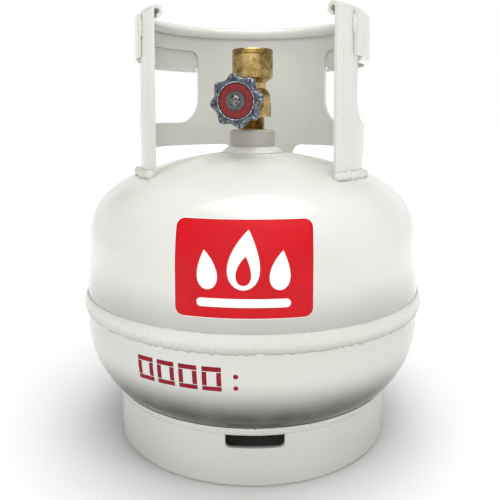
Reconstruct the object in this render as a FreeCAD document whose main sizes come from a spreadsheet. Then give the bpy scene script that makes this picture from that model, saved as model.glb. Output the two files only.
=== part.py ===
import FreeCAD, Part
import Sketcher
import math
import os

# A small refillable gas cylinder with a guard collar, a valve and a foot ring.
# Frame: origin at the middle of the base, +Z up, the collar's opening faces -Y, +X is to its right.
# Angles about the tank are measured from +X towards +Y.

DIMENSIONS = [
    # two pressed heads and the weld between them
    ("body_radius", 125.0, "outside radius of both heads"),
    ("head_plate", 2.6, "plate thickness of the heads"),
    ("seam_height", 103.0, "height of the girth weld"),
    ("upper_straight", 43.0, "straight side above the seam"),
    ("upper_knuckle", 49.0, "knuckle radius of the top head"),
    ("upper_crown", 240.0, "crown radius of the top head"),
    ("lower_straight", 14.0, "straight side below the seam"),
    ("lower_knuckle", 66.0, "knuckle radius of the bottom head"),
    ("lower_crown", 230.0, "crown radius of the bottom head"),
    ("lip_height", 11.0, "height of the tucked-in lip above the seam"),
    ("lip_play", 0.1, "play between the lip and the top head"),
    ("root_half", 1.8, "half of the gap that the girth weld fills"),
    ("bead_half", 6.6, "half height of the girth weld"),
    ("bead_proud", 2.1, "height of the girth weld above the plate"),
    # bung and its weld
    ("bung_radius", 17.4, "outside radius of the bung"),
    ("bung_bore", 9.6, "bore radius of the bung"),
    ("bung_foot", 205.5, "height of the bung's lower end"),
    ("bung_top", 227.0, "height of the bung's upper end"),
    ("bung_chamfer", 1.2, "chamfer on the bung"),
    ("bung_weld_leg", 6.4, "radial leg of the bung's weld"),
    ("bung_weld_rise", 4.6, "height of the bung's weld"),
    ("bung_weld_bulge", 7.68, "radius of the bung weld's face"),
    # guard collar
    ("collar_radius", 85.5, "outside radius of the collar"),
    ("collar_plate", 2.4, "sheet thickness of the collar"),
    ("collar_foot", 196.1, "height of the collar's lower edge"),
    ("rim_height", 309.5, "height of the middle of the rolled rim"),
    ("rim_roll", 4.5, "outside radius of the rolled rim"),
    ("opening_half", 47.5, "half angle of the front opening"),
    ("window_near", 65.5, "angle from the front to a hand hole's near side"),
    ("window_far", 139.0, "angle from the front to a hand hole's far side"),
    ("window_sill", 231.6, "height of a hand hole's lower edge"),
    ("window_head", 278.4, "height of a hand hole's upper edge"),
    ("window_round", 20.0, "corner radius at the sill of a hand hole"),
    ("arch_near", 88.0, "angle from the front to the near side of the raised arch"),
    ("arch_head", 293.5, "height of the arch over a hand hole"),
    ("arch_round", 8.0, "corner radius of the arch"),
    ("drain_near", 76.0, "angle from the front to a drain arch's near side"),
    ("drain_far", 161.3, "angle from the front to a drain arch's far side"),
    ("drain_head", 212.0, "height of a drain arch"),
    ("drain_round", 9.0, "corner radius of a drain arch"),
    ("grip_near", 60.5, "angle from the front to a grip's near end"),
    ("grip_far", 141.5, "angle from the front to a grip's far end"),
    ("grip_play", 0.3, "play between a grip and the collar"),
    ("grip_plate", 2.4, "sheet thickness of a grip"),
    ("grip_bend", 279.0, "height where a grip starts to curl under the rail"),
    ("grip_lip", 4.0, "outside radius of a grip's curl"),
    ("grip_edge", 0.96, "rounding of a grip's upper edge"),
    ("curl_play", 1.0, "angle between a grip's curl and the sides of its hand hole"),
    ("foot_bead", 2.8, "radius of the beads at the collar's feet"),
    ("foot_bead_out", 0.84, "distance from the collar's face to the middle of a foot bead"),
    ("foot_bead_drop", 0.2, "distance from the collar's edge down to the middle of a foot bead"),
    ("foot_bead_past", 1.0, "angle that a foot bead runs past the collar's foot"),
    ("grip_bead", 1.5, "radius of the beads at the grips' ends"),
    ("grip_bead_out", 0.9, "distance from the collar's face to the middle of a grip's bead"),
    ("grip_bead_past", 0.5, "angle from a grip's end to the middle of its bead"),
    ("grip_bead_drop", 3.0, "distance from the rim down to the top of a grip's bead"),
    ("grip_bead_length", 13.0, "length of the beads at the grips' ends"),
    # foot ring
    ("ring_radius", 102.0, "outside radius of the foot ring"),
    ("ring_plate", 2.4, "sheet thickness of the foot ring"),
    ("ring_top", 36.9, "height of the foot ring's upper edge"),
    ("ring_turn", 3.0, "outside radius of the foot ring's turned edge"),
    ("ring_tread", 3.0, "width of the face that the tank stands on"),
    ("slot_sill", 26.5, "height of the lower edge of a foot slot"),
    ("slot_half", 10.9, "half angle of a foot slot"),
    ("slot_round", 3.0, "corner radius of a foot slot"),
    ("slot_bearing", -82.6, "angle of the middle of the front foot slot"),
    ("slot_count", 3, "foot slots round the ring"),
    ("ring_weld_low", 35.0, "lower edge of the foot ring's weld"),
    ("ring_weld_reach", 2.6, "reach of the foot ring's weld beyond the ring"),
    ("ring_weld_bulge", 6.24, "radius of the foot ring weld's face"),
    # label
    ("label_bottom", 118.5, "height of the label's lower edge"),
    ("label_top", 176.5, "height of the label's upper edge"),
    ("label_width", 83.4, "width of the label"),
    ("label_round", 5.5, "corner radius of the label"),
    ("label_film", 0.25, "thickness of the label"),
    ("label_paint", 0.02, "paint under the label"),
    ("label_margin", 2.0, "film above and below the label before it is cut to size"),
    ("label_span", 26.0, "half angle of the film before it is cut to size"),
    ("label_bearing", -86.0, "angle of the middle of the label"),
    # valve body, turned a little from the collar's opening
    ("valve_yaw", -8.5, "turn of the valve about the tank's axis"),
    ("stem_height", 248.0, "height of the spindle's axis"),
    ("inlet_end", 207.0, "height of the valve's lower end"),
    ("inlet_radius", 9.5, "outside radius of the inlet thread"),
    ("inlet_groove", 0.9, "depth of the inlet thread"),
    ("inlet_pitch", 1.8, "pitch of the inlet thread"),
    ("inlet_turns", 5, "thread turns that show above the bung"),
    ("inlet_first", 0.6, "distance from the bung up to the first of those turns"),
    ("inlet_way", 3.0, "radius of the gas way in the inlet"),
    ("block_low", 237.0, "height of the wrench flats' lower edge"),
    ("block_high", 247.7, "height of the wrench flats' upper edge"),
    ("block_flat", 12.9, "distance from the axis to a wrench flat"),
    ("belly_radius", 13.8, "radius of the round belly"),
    ("belly_high", 252.0, "height of the belly's upper edge"),
    ("belly_bulge", 8.0, "radius of the belly's shoulder"),
    ("neck_radius", 9.8, "radius of the neck below the outlet"),
    ("neck_low", 258.5, "height of the neck's lower edge"),
    ("neck_high", 262.5, "height of the neck's upper edge"),
    ("cup_radius", 15.6, "outside radius of the outlet"),
    ("cup_low", 266.5, "height where the outlet reaches its full radius"),
    ("cup_top", 288.0, "height of the outlet's rim"),
    ("cup_line", 284.2, "height of the groove that marks a left-hand thread"),
    ("cup_line_half", 0.5, "half width of that groove"),
    ("cup_bore", 10.9, "radius of the outlet's threaded bore"),
    ("cup_floor", 273.0, "height of the bore's floor"),
    ("cup_dish", 1.6, "depth of the dished floor"),
    ("cup_chamfer", 0.8, "chamfer on the outlet's rim"),
    ("bonnet_radius", 11.2, "radius of the spindle side of the valve body"),
    ("bonnet_reach", 19.0, "distance from the axis to the bonnet face"),
    ("chamber_radius", 6.0, "radius of the chamber"),
    ("seat_plane", 3.0, "distance from the axis to the seat"),
    ("seat_way", 2.5, "radius of the way through the seat"),
    ("socket_radius", 8.0, "radius of the bonnet nut's socket"),
    ("socket_floor", 14.0, "distance from the axis to the socket's floor"),
    ("riser_radius", 1.9, "radius of the way up to the outlet"),
    ("riser_offset", 5.2, "distance from the axis to that way"),
    ("relief_radius", 9.0, "radius of the relief side of the valve body"),
    ("relief_reach", 17.0, "distance from the axis to the relief face"),
    ("relief_bore", 6.5, "radius of the relief chamber"),
    ("relief_plane", 5.2, "distance from the axis to the relief seat"),
    ("relief_way", 2.5, "radius of the way through the relief seat"),
    # spindle pieces, measured outwards from the valve's axis
    ("slide_play", 0.05, "radial play of running fits"),
    ("seat_gap", 0.05, "play between a seat and its closed disc"),
    ("seat_disc_radius", 4.2, "radius of the seat disc"),
    ("seat_disc_thick", 2.5, "thickness of the seat disc"),
    ("carrier_start", 4.1, "start of the seat carrier"),
    ("carrier_end", 14.0, "end of the seat carrier"),
    ("carrier_slot", 2.9, "width of the carrier's slot"),
    ("carrier_slot_floor", 6.5, "floor of the carrier's slot"),
    ("tang_width", 2.6, "thickness of the spindle's tang"),
    ("tang_height", 8.0, "width of the spindle's tang"),
    ("tang_start", 9.2, "start of the tang"),
    ("spindle_collar_radius", 5.0, "radius of the spindle's collar"),
    ("spindle_collar_start", 17.0, "start of the spindle's collar"),
    ("spindle_collar_end", 19.0, "end of the spindle's collar"),
    ("spindle_radius", 3.0, "radius of the spindle"),
    ("spindle_square", 4.2, "width of the spindle's square"),
    ("square_start", 33.2, "start of the spindle's square"),
    ("spindle_end", 43.5, "end of the spindle"),
    ("screw_bore_floor", 36.0, "floor of the spindle's screw hole"),
    ("thrust_end", 20.4, "end of the thrust washer's room"),
    ("thrust_play", 0.05, "play on both faces of the thrust washer"),
    ("thrust_hole", 3.2, "hole radius of the thrust washer"),
    ("thrust_radius", 5.1, "radius of the thrust washer"),
    ("nut_start", 14.2, "start of the bonnet nut"),
    ("nut_hex_start", 19.0, "start of the nut's hexagon"),
    ("nut_hex_end", 27.0, "end of the nut's hexagon"),
    ("nut_flat", 9.5, "distance from the axis to a flat of the nut"),
    ("nut_nose_radius", 7.2, "radius of the nut's nose"),
    ("nut_nose_end", 31.0, "end of the nut's nose"),
    ("nut_cavity", 6.3, "radius of the nut's inner room"),
    ("nut_throat", 5.3, "radius of the room for the spindle's collar"),
    ("throat_play", 0.1, "play between that room's step and the collar"),
    ("groove_start", 23.2, "start of the seal's groove"),
    ("groove_end", 25.2, "end of the seal's groove"),
    ("groove_radius", 4.95, "radius of the seal's groove"),
    ("seal_wire", 0.9, "half thickness of the stem seal"),
    # handwheel and what holds it
    ("wheel_back", 33.5, "start of the handwheel's hub"),
    ("wheel_hub_radius", 6.5, "radius of the hub"),
    ("wheel_web", 38.0, "start of the wheel's rim"),
    ("wheel_front", 46.0, "front of the wheel"),
    ("wheel_root", 16.7, "radius of the wheel between its lobes"),
    ("lobe_radius", 4.7, "radius of a lobe"),
    ("lobe_circle", 15.2, "radius of the circle through the lobes"),
    ("lobe_count", 8, "lobes of the handwheel"),
    ("lobe_phase", 8.0, "angle of the first lobe"),
    ("wheel_edge", 1.4, "rounding of the wheel's edges"),
    ("recess_radius", 12.6, "radius of the wheel's front recess"),
    ("recess_floor", 44.4, "floor of the front recess"),
    ("square_play", 0.1, "play round the spindle's square"),
    ("disc_radius", 12.2, "radius of the wheel's disc"),
    ("disc_thick", 1.0, "thickness of the wheel's disc"),
    ("wheel_washer_radius", 6.8, "radius of the wheel's washer"),
    ("wheel_washer_thick", 1.1, "thickness of the wheel's washer"),
    ("screw_shank", 1.9, "radius of the screw's shank"),
    ("screw_shank_start", 37.0, "start of the screw's shank"),
    ("screw_head_radius", 3.7, "radius of the screw's head"),
    ("screw_head_thick", 2.2, "thickness of the screw's head"),
    ("screw_crown", 0.8, "how far the top of the screw's head draws in"),
    ("screw_crown_high", 0.6, "height over which it draws in"),
    ("screw_slot_width", 1.0, "width of the screw's slot"),
    ("screw_slot_depth", 1.1, "depth of the screw's slot"),
    # relief valve pieces, measured backwards from the valve's axis
    ("relief_seal_radius", 4.2, "radius of the relief seal"),
    ("relief_seal_end", 7.05, "end of the relief seal"),
    ("poppet_radius", 5.6, "radius of the poppet's disc"),
    ("poppet_disc_end", 9.0, "end of the poppet's disc"),
    ("poppet_stem", 1.9, "radius of the poppet's stem"),
    ("poppet_end", 15.4, "end of the poppet's stem"),
    ("relief_cap_start", 14.7, "start of the relief cap"),
    ("relief_cap_end", 20.0, "end of the relief cap"),
    ("relief_cap_flat", 7.6, "distance from the axis to a flat of the relief cap"),
    ("relief_cap_hole", 2.0, "radius of the hole in the relief cap"),
    ("vent_radius", 0.8, "radius of a vent in the relief cap"),
    ("vent_circle", 4.2, "radius of the circle through the vents"),
    ("vent_count", 4, "vents in the relief cap"),
    ("spring_radius", 3.6, "middle radius of the relief spring"),
    ("spring_wire", 0.55, "wire radius of the relief spring"),
    ("spring_turns", 4, "turns of the relief spring"),
    ("spring_play", 0.05, "play at both ends of the relief spring"),
]

FULL_TURN = 360.0
CLEAR = 4.0  # how far a cutter runs past what it cuts
OVERLAP = 2.0  # how far one opening reaches into the next
HEX_HALF_TURN = 30.0  # angle from a hexagon's flat to its corner
THROUGH = 1.5  # an edge through a sheet is shorter than this many thicknesses
LEAST_CUT = 0.5  # volume that a cut has to take away
LEAST_REPEAT = 1.0  # volume that a pattern has to change
SAME_HEIGHT = 0.1  # edges this near a height count as at it
SAME_ANGLE = 0.2  # edges this near an angle count as at it
SAME_PLACE = 0.01  # circles this near a place count as at it


class Size:
    """A number together with the sheet formula that gives it."""

    def __init__(self, number, formula=None):
        self.number = float(number)
        self.formula = formula if formula is not None else repr(float(number))

    def _join(self, other, sign, number):
        return Size(number, "(%s %s %s)" % (self.formula, sign, other.formula))

    def __add__(self, other):
        other = as_size(other)
        return self._join(other, "+", self.number + other.number)

    def __radd__(self, other):
        return as_size(other) + self

    def __sub__(self, other):
        other = as_size(other)
        return self._join(other, "-", self.number - other.number)

    def __rsub__(self, other):
        return as_size(other) - self

    def __mul__(self, other):
        other = as_size(other)
        return self._join(other, "*", self.number * other.number)

    def __rmul__(self, other):
        return as_size(other) * self

    def __truediv__(self, other):
        other = as_size(other)
        return self._join(other, "/", self.number / other.number)

    def __neg__(self):
        return Size(-self.number, "(0 - %s)" % self.formula)


def as_size(value):
    """Return value as a Size."""
    return value if isinstance(value, Size) else Size(value)


def root(size):
    """Square root of a size."""
    return Size(math.sqrt(size.number), "sqrt(%s)" % size.formula)


def cosine(angle):
    """Cosine of an angle in degrees."""
    return Size(math.cos(math.radians(angle.number)), "cos(%s)" % angle.formula)


def sine(angle):
    """Sine of an angle in degrees."""
    return Size(math.sin(math.radians(angle.number)), "sin(%s)" % angle.formula)


doc = FreeCAD.newDocument("gas_cylinder")
sheet = doc.addObject("Spreadsheet::Sheet", "Sizes")
size = {}
for row, (alias, value, meaning) in enumerate(DIMENSIONS, start=1):
    sheet.set("A%d" % row, alias)
    sheet.set("B%d" % row, str(value))
    sheet.set("C%d" % row, meaning)
    sheet.setAlias("B%d" % row, alias)
    size[alias] = Size(value, "Sizes." + alias)
doc.recompute()

nodes = []


# ---------------------------------------------------------------- helpers

def new_body(label):
    """Make a body that will be written out as one node."""
    body = doc.addObject("PartDesign::Body", label)
    body.Label = label
    nodes.append(body)
    return body


def bind(thing, name, value):
    """Bind a property to the sheet."""
    thing.setExpression(name, as_size(value).formula)


def sketch_on(body, name, role, lift=None, spin=None):
    """Attach a sketch to one of the body's own planes.

    lift moves it along the plane's normal, spin turns it about the sketch's own upright.
    """
    sketch = body.newObject("Sketcher::SketchObject", name)
    plane = [item for item in body.Origin.OriginFeatures if item.Role == role][0]
    sketch.AttachmentSupport = [(plane, "")]
    sketch.MapMode = "FlatFace"
    if lift is not None:
        bind(sketch, "AttachmentOffset.Base.z", lift)
    if spin is not None:
        spin = as_size(spin)
        turn = FreeCAD.Rotation(FreeCAD.Vector(0, 1, 0), spin.number)
        sketch.AttachmentOffset = FreeCAD.Placement(FreeCAD.Vector(0, 0, 0), turn)
        bind(sketch, "AttachmentOffset.Rotation.Angle", spin)
    return sketch


def dimension(sketch, kind, arguments, value):
    """Add a constraint whose value comes from the sheet."""
    index = sketch.addConstraint(Sketcher.Constraint(kind, *arguments, value.number))
    sketch.setExpression("Constraints[%d]" % index, value.formula)


def pin_point(sketch, geometry, point, place):
    """Hold a point at a place given by two sizes."""
    for kind, axis, value in (("DistanceX", -2, place[0]), ("DistanceY", -1, place[1])):
        if value.number == 0.0:
            sketch.addConstraint(Sketcher.Constraint("PointOnObject", geometry, point, axis))
        else:
            dimension(sketch, kind, (-1, 1, geometry, point), value)


def arc_between(start, end, radius, leftwards):
    """An arc of under half a turn from start to end that bulges left or right of its chord."""
    chord = end - start
    half = chord.Length / 2.0
    across = FreeCAD.Vector(-chord.y, chord.x, 0).normalize()
    side = -1.0 if leftwards else 1.0
    centre = (start + end) * 0.5 + across * side * math.sqrt(radius * radius - half * half)
    first, last = (end, start) if leftwards else (start, end)
    begin = math.atan2(first.y - centre.y, first.x - centre.x)
    finish = math.atan2(last.y - centre.y, last.x - centre.x)
    if finish < begin:
        finish += 2.0 * math.pi
    return Part.ArcOfCircle(Part.Circle(centre, FreeCAD.Vector(0, 0, 1), radius), begin, finish)


def outline(sketch, corners):
    """Draw a closed outline.

    A corner is (x, y) where a straight edge leaves it, or (x, y, radius, side) where an arc
    leaves it and bulges to the "left" or the "right" of the way to the next corner.
    """
    places = [(as_size(corner[0]), as_size(corner[1])) for corner in corners]
    points = [FreeCAD.Vector(place[0].number, place[1].number, 0) for place in places]
    count = len(corners)
    starts = []
    ends = []
    for index, corner in enumerate(corners):
        here = points[index]
        there = points[(index + 1) % count]
        if len(corner) == 2:
            sketch.addGeometry(Part.LineSegment(here, there), False)
            starts.append(1)
            ends.append(2)
            continue
        leftwards = corner[3] == "left"
        sketch.addGeometry(arc_between(here, there, as_size(corner[2]).number, leftwards), False)
        starts.append(2 if leftwards else 1)
        ends.append(1 if leftwards else 2)
    for index in range(count):
        following = (index + 1) % count
        joint = ("Coincident", index, ends[index], following, starts[following])
        sketch.addConstraint(Sketcher.Constraint(*joint))
    for index, corner in enumerate(corners):
        pin_point(sketch, index, starts[index], places[index])
        if len(corner) == 4:
            dimension(sketch, "Radius", (index,), as_size(corner[2]))


def rectangle(x_low, x_high, y_low, y_high):
    """Corners of an upright rectangle."""
    return [(x_low, y_low), (x_high, y_low), (x_high, y_high), (x_low, y_high)]


def circle(sketch, centre, radius):
    """Draw a circle held by its centre and radius."""
    place = (as_size(centre[0]), as_size(centre[1]))
    middle = FreeCAD.Vector(place[0].number, place[1].number, 0)
    radius = as_size(radius)
    index = sketch.addGeometry(Part.Circle(middle, FreeCAD.Vector(0, 0, 1), radius.number), False)
    if place[0].number == 0.0 and place[1].number == 0.0:
        sketch.addConstraint(Sketcher.Constraint("Coincident", index, 3, -1, 1))
    else:
        pin_point(sketch, index, 3, place)
    dimension(sketch, "Radius", (index,), radius)


def hexagon(flat):
    """Corners of a hexagon with two flats upright, flat being its inner radius."""
    corner = flat / cosine(as_size(HEX_HALF_TURN))
    corners = []
    for turn in range(6):
        angle = as_size(HEX_HALF_TURN + 2.0 * HEX_HALF_TURN * turn)
        corners.append((tidy(corner * cosine(angle)), tidy(corner * sine(angle))))
    return corners


def tidy(value):
    """Give exactly zero where a product only rounds to it."""
    return Size(0.0) if abs(value.number) < 1e-9 else value


def revolve(body, name, corners, start=None, sweep=None):
    """Turn an outline about the body's upright axis, from start through sweep degrees."""
    sketch = sketch_on(body, name + "_outline", "XZ_Plane", spin=start)
    outline(sketch, corners)
    feature = body.newObject("PartDesign::Revolution", name)
    feature.Profile = sketch
    feature.ReferenceAxis = (sketch, ["V_Axis"])
    if sweep is None:
        feature.Angle = FULL_TURN
    else:
        bind(feature, "Angle", sweep)
    return feature


def groove(body, name, corners, start, sweep):
    """Cut an outline turned about the body's upright axis, from start through sweep degrees."""
    before = body_volume(body)
    sketch = sketch_on(body, name + "_outline", "XZ_Plane", spin=start)
    outline(sketch, corners)
    feature = body.newObject("PartDesign::Groove", name)
    feature.Profile = sketch
    feature.ReferenceAxis = (sketch, ["V_Axis"])
    bind(feature, "Angle", sweep)
    must_cut(body, name, before)
    return feature


def pad(body, name, role, lift, length, draw):
    """Raise what draw puts in a sketch by length."""
    sketch = sketch_on(body, name + "_outline", role, lift=lift)
    draw(sketch)
    feature = body.newObject("PartDesign::Pad", name)
    feature.Profile = sketch
    bind(feature, "Length", length)
    return feature


def pocket(body, name, role, lift, length, draw, outwards=False):
    """Cut what draw puts in a sketch by length, against the plane's normal or along it."""
    before = body_volume(body)
    sketch = sketch_on(body, name + "_outline", role, lift=lift)
    draw(sketch)
    feature = body.newObject("PartDesign::Pocket", name)
    feature.Profile = sketch
    feature.Reversed = outwards
    bind(feature, "Length", length)
    must_cut(body, name, before)
    return feature


def polar(body, name, feature, count):
    """Repeat a feature evenly round the body's upright axis."""
    before = body_volume(body)
    pattern = body.newObject("PartDesign::PolarPattern", name)
    pattern.Originals = [feature]
    axis = [item for item in body.Origin.OriginFeatures if item.Role == "Z_Axis"][0]
    pattern.Axis = (axis, [""])
    pattern.Angle = FULL_TURN
    bind(pattern, "Occurrences", count)
    body.Tip = pattern
    doc.recompute()
    if abs(body_volume(body) - before) < LEAST_REPEAT:
        raise RuntimeError(name + " repeats nothing")
    return pattern


def body_volume(body):
    """Volume of a body as it stands."""
    doc.recompute()
    return body.Shape.Volume


def must_cut(body, name, before):
    """Stop if the last feature took nothing away."""
    if body_volume(body) >= before - LEAST_CUT:
        raise RuntimeError(name + " cuts nothing")


def round_edges(body, name, radius, chosen):
    """Round the edges of the body's tip that chosen accepts."""
    doc.recompute()
    tip = body.Tip
    picked = ["Edge%d" % number for number, edge in enumerate(tip.Shape.Edges, start=1) if chosen(edge)]
    if not picked:
        raise RuntimeError(name + " finds no edges")
    feature = body.newObject("PartDesign::Fillet", name)
    feature.Base = (tip, picked)
    bind(feature, "Radius", radius)
    doc.recompute()
    return feature


def radial_edge(angles, height, reach):
    """A test for edges that run through the sheet at one of the angles and a height."""
    def test(edge):
        middle = edge.CenterOfMass
        if abs(middle.z - height.number) > SAME_HEIGHT or edge.Length > reach:
            return False
        bearing = math.degrees(math.atan2(middle.y, middle.x))
        half = FULL_TURN / 2.0
        return any(abs((bearing - angle.number + half) % FULL_TURN - half) < SAME_ANGLE for angle in angles)
    return test


def circle_at(height, radius):
    """A test for round edges about the upright axis at a height and a radius."""
    def test(edge):
        curve = edge.Curve
        if not isinstance(curve, Part.Circle):
            return False
        level = abs(curve.Center.z - height.number) < SAME_PLACE
        centred = math.hypot(curve.Center.x, curve.Center.y) < SAME_PLACE
        return level and centred and abs(curve.Radius - radius.number) < SAME_PLACE
    return test


def front_angle(side, bearing):
    """Angle about the tank of a bearing from the front, on the side +1 (right) or -1 (left)."""
    return bearing - 90.0 if side > 0 else 270.0 - bearing


def sector(side, near, far):
    """Start and sweep of the stretch between two bearings on one side."""
    start = front_angle(side, near) if side > 0 else front_angle(side, far)
    return start, far - near


def stand_on_stem(body, roll):
    """Lay a piece along the spindle's axis: roll 90 points it forwards, -90 backwards."""
    place = "create(<<vector>>; 0; 0; Sizes.stem_height)"
    turn = "create(<<rotation>>; Sizes.valve_yaw; 0; %d)" % roll
    body.setExpression("Placement", "create(<<placement>>; %s; %s)" % (place, turn))


SIDES = (("right", 1), ("left", -1))


# ---------------------------------------------------------------- heads

def head_outline(knuckle, crown, inset):
    """Joint of knuckle and crown on a head, inset from its outer face, and the crown centre's drop.

    Heights are counted from the end of the straight side.
    """
    spread = size["body_radius"] - knuckle
    drop = root((crown - knuckle) * (crown - knuckle) - spread * spread)
    ball = crown - inset
    joint_radius = ball * spread / (crown - knuckle)
    joint_height = ball * drop / (crown - knuckle) - drop
    return joint_radius, joint_height, drop


def crown_height(crown, drop, inset, radius):
    """Height of the crown above the straight side at a radius."""
    ball = crown - inset
    return root(ball * ball - radius * radius) - drop


upper_end = size["seam_height"] + size["upper_straight"]
lower_end = size["seam_height"] - size["lower_straight"]
plate = size["head_plate"]
bore_radius = size["body_radius"] - plate


def make_upper_shell():
    """Top head: straight side, knuckle and crown, with a hole for the bung."""
    knuckle = size["upper_knuckle"]
    crown = size["upper_crown"]
    outer_r, outer_z, drop = head_outline(knuckle, crown, 0.0)
    inner_r, inner_z, _ = head_outline(knuckle, crown, plate)
    hole = size["bung_radius"]
    edge = size["seam_height"] + size["root_half"]
    body = new_body("upper_shell")
    revolve(body, "head", [
        (size["body_radius"], edge),
        (size["body_radius"], upper_end, knuckle, "right"),
        (outer_r, upper_end + outer_z, crown, "right"),
        (hole, upper_end + crown_height(crown, drop, 0.0, hole)),
        (hole, upper_end + crown_height(crown, drop, plate, hole), crown - plate, "left"),
        (inner_r, upper_end + inner_z, knuckle - plate, "left"),
        (bore_radius, upper_end),
        (bore_radius, edge),
    ])
    return drop


def make_lower_shell():
    """Bottom head with a lip that tucks inside the top head."""
    knuckle = size["lower_knuckle"]
    crown = size["lower_crown"]
    outer_r, outer_z, drop = head_outline(knuckle, crown, 0.0)
    inner_r, inner_z, _ = head_outline(knuckle, crown, plate)
    lip_out = bore_radius - size["lip_play"]
    lip_in = lip_out - plate
    shoulder = size["seam_height"] - size["root_half"]
    lip_top = size["seam_height"] + size["lip_height"]
    body = new_body("lower_shell")
    revolve(body, "head", [
        (0.0, lower_end - (crown - drop), crown, "right"),
        (outer_r, lower_end - outer_z, knuckle, "right"),
        (size["body_radius"], lower_end),
        (size["body_radius"], shoulder),
        (lip_out, shoulder + plate),
        (lip_out, lip_top),
        (lip_in, lip_top),
        (lip_in, shoulder + plate),
        (bore_radius, shoulder - plate / 2.0),
        (bore_radius, lower_end, knuckle - plate, "left"),
        (inner_r, lower_end - inner_z, crown - plate, "left"),
        (0.0, lower_end - (crown - plate - drop)),
    ])
    return drop


def make_girth_weld():
    """Weld bead round the seam, rooted in the gap between the heads."""
    half = size["bead_half"]
    proud = size["bead_proud"]
    seam = size["seam_height"]
    bead_arc = (half * half + proud * proud) / (2.0 * proud)
    body = new_body("girth_weld")
    revolve(body, "bead", [
        (size["body_radius"], seam - half, bead_arc, "right"),
        (size["body_radius"], seam + half),
        (size["body_radius"], seam + size["root_half"]),
        (size["body_radius"] - plate / 2.0, seam + size["root_half"]),
        (size["body_radius"], seam - size["root_half"]),
    ])


# ---------------------------------------------------------------- bung

def make_valve_boss():
    """Bung that the valve screws into."""
    outer = size["bung_radius"]
    chamfer = size["bung_chamfer"]
    body = new_body("valve_boss")
    revolve(body, "bung", [
        (size["bung_bore"], size["bung_foot"]),
        (outer - chamfer, size["bung_foot"]),
        (outer, size["bung_foot"] + chamfer),
        (outer, size["bung_top"] - chamfer),
        (outer - chamfer, size["bung_top"]),
        (size["bung_bore"], size["bung_top"]),
    ])


def make_boss_weld(drop):
    """Fillet weld between the bung and the crown."""
    crown = size["upper_crown"]
    inner = size["bung_radius"]
    outer = inner + size["bung_weld_leg"]
    base_in = upper_end + crown_height(crown, drop, 0.0, inner)
    base_out = upper_end + crown_height(crown, drop, 0.0, outer)
    body = new_body("boss_weld")
    revolve(body, "bead", [
        (inner, base_in, crown, "left"),
        (outer, base_out, size["bung_weld_bulge"], "right"),
        (inner, base_in + size["bung_weld_rise"]),
    ])


# ---------------------------------------------------------------- guard collar

def make_collar():
    """Rolled guard collar with a front opening, two hand holes and two drain arches."""
    outer = size["collar_radius"]
    inner = outer - size["collar_plate"]
    roll = size["rim_roll"]
    curl = roll - size["collar_plate"]
    rim = size["rim_height"]
    middle = outer - roll
    opening = size["opening_half"]
    body = new_body("collar")
    revolve(body, "rolled_sheet", [
        (outer, size["collar_foot"]),
        (outer, rim, roll, "right"),
        (middle, rim + roll, roll, "right"),
        (middle - roll, rim, roll, "right"),
        (middle, rim - roll),
        (middle, rim - curl, curl, "left"),
        (middle - curl, rim, curl, "left"),
        (middle, rim + curl, curl, "left"),
        (inner, rim),
        (inner, size["collar_foot"]),
    ], start=opening - 90.0, sweep=FULL_TURN - 2.0 * opening)
    near = size["window_near"]
    far = size["window_far"]
    cut_in = inner - CLEAR
    cut_out = outer + CLEAR
    for name, side in SIDES:
        start, sweep = sector(side, near, far)
        window = rectangle(cut_in, cut_out, size["window_sill"], size["window_head"])
        groove(body, name + "_hand_hole", window, start, sweep)
        start, sweep = sector(side, size["arch_near"], far)
        arch = rectangle(cut_in, cut_out, size["window_head"] - OVERLAP, size["arch_head"])
        groove(body, name + "_arch", arch, start, sweep)
        start, sweep = sector(side, size["drain_near"], size["drain_far"])
        drain = rectangle(cut_in, cut_out, size["collar_foot"] - OVERLAP, size["drain_head"])
        groove(body, name + "_drain", drain, start, sweep)
    through = size["collar_plate"].number * THROUGH
    corners = (
        ("sill_corners", "window_round", "window_sill", ("window_near", "window_far")),
        ("arch_corners", "arch_round", "arch_head", ("arch_near", "window_far")),
        ("step_corners", "arch_round", "window_head", ("arch_near",)),
        ("drain_corners", "drain_round", "drain_head", ("drain_near", "drain_far")),
    )
    for name, radius, height, bearings in corners:
        angles = [front_angle(side, size[bearing]) for _, side in SIDES for bearing in bearings]
        round_edges(body, name, size[radius], radial_edge(angles, size[height], through))


def make_grips():
    """Two doubled grips on the outside of the rail, curled under its lower edge."""
    inner = size["collar_radius"] + size["grip_play"]
    outer = inner + size["grip_plate"]
    lip = size["grip_lip"]
    curl = lip - size["grip_plate"]
    bend = size["grip_bend"]
    middle = outer - lip
    for name, side in SIDES:
        body = new_body(name + "_grip")
        start, sweep = sector(side, size["grip_near"], size["grip_far"])
        revolve(body, "sheet", [
            (outer, bend),
            (outer, size["rim_height"]),
            (inner, size["rim_height"]),
            (inner, bend),
        ], start=start, sweep=sweep)
        near = size["window_near"] + size["curl_play"]
        far = size["window_far"] - size["curl_play"]
        start, sweep = sector(side, near, far)
        revolve(body, "curl", [
            (outer, bend),
            (inner, bend, curl, "left"),
            (middle, bend - curl),
            (middle, bend - lip, lip, "right"),
        ], start=start, sweep=sweep)
        round_edges(body, "top_edge", size["grip_edge"], circle_at(size["rim_height"], outer))


def bead(label, path_radius, wire, height, start, sweep):
    """A bead of weld that follows part of a circle about the tank's axis."""
    piece = doc.addObject("Part::Torus", label)
    bind(piece, "Radius1", path_radius)
    bind(piece, "Radius2", wire)
    bind(piece, "Angle3", sweep)
    bind(piece, "Placement.Base.z", height)
    bind(piece, "Placement.Rotation.Angle", start)
    return piece


def group(label, pieces):
    """Join separate solids into one node."""
    joined = doc.addObject("Part::Compound", label)
    joined.Label = label
    joined.Links = pieces
    nodes.append(joined)
    return joined


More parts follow.
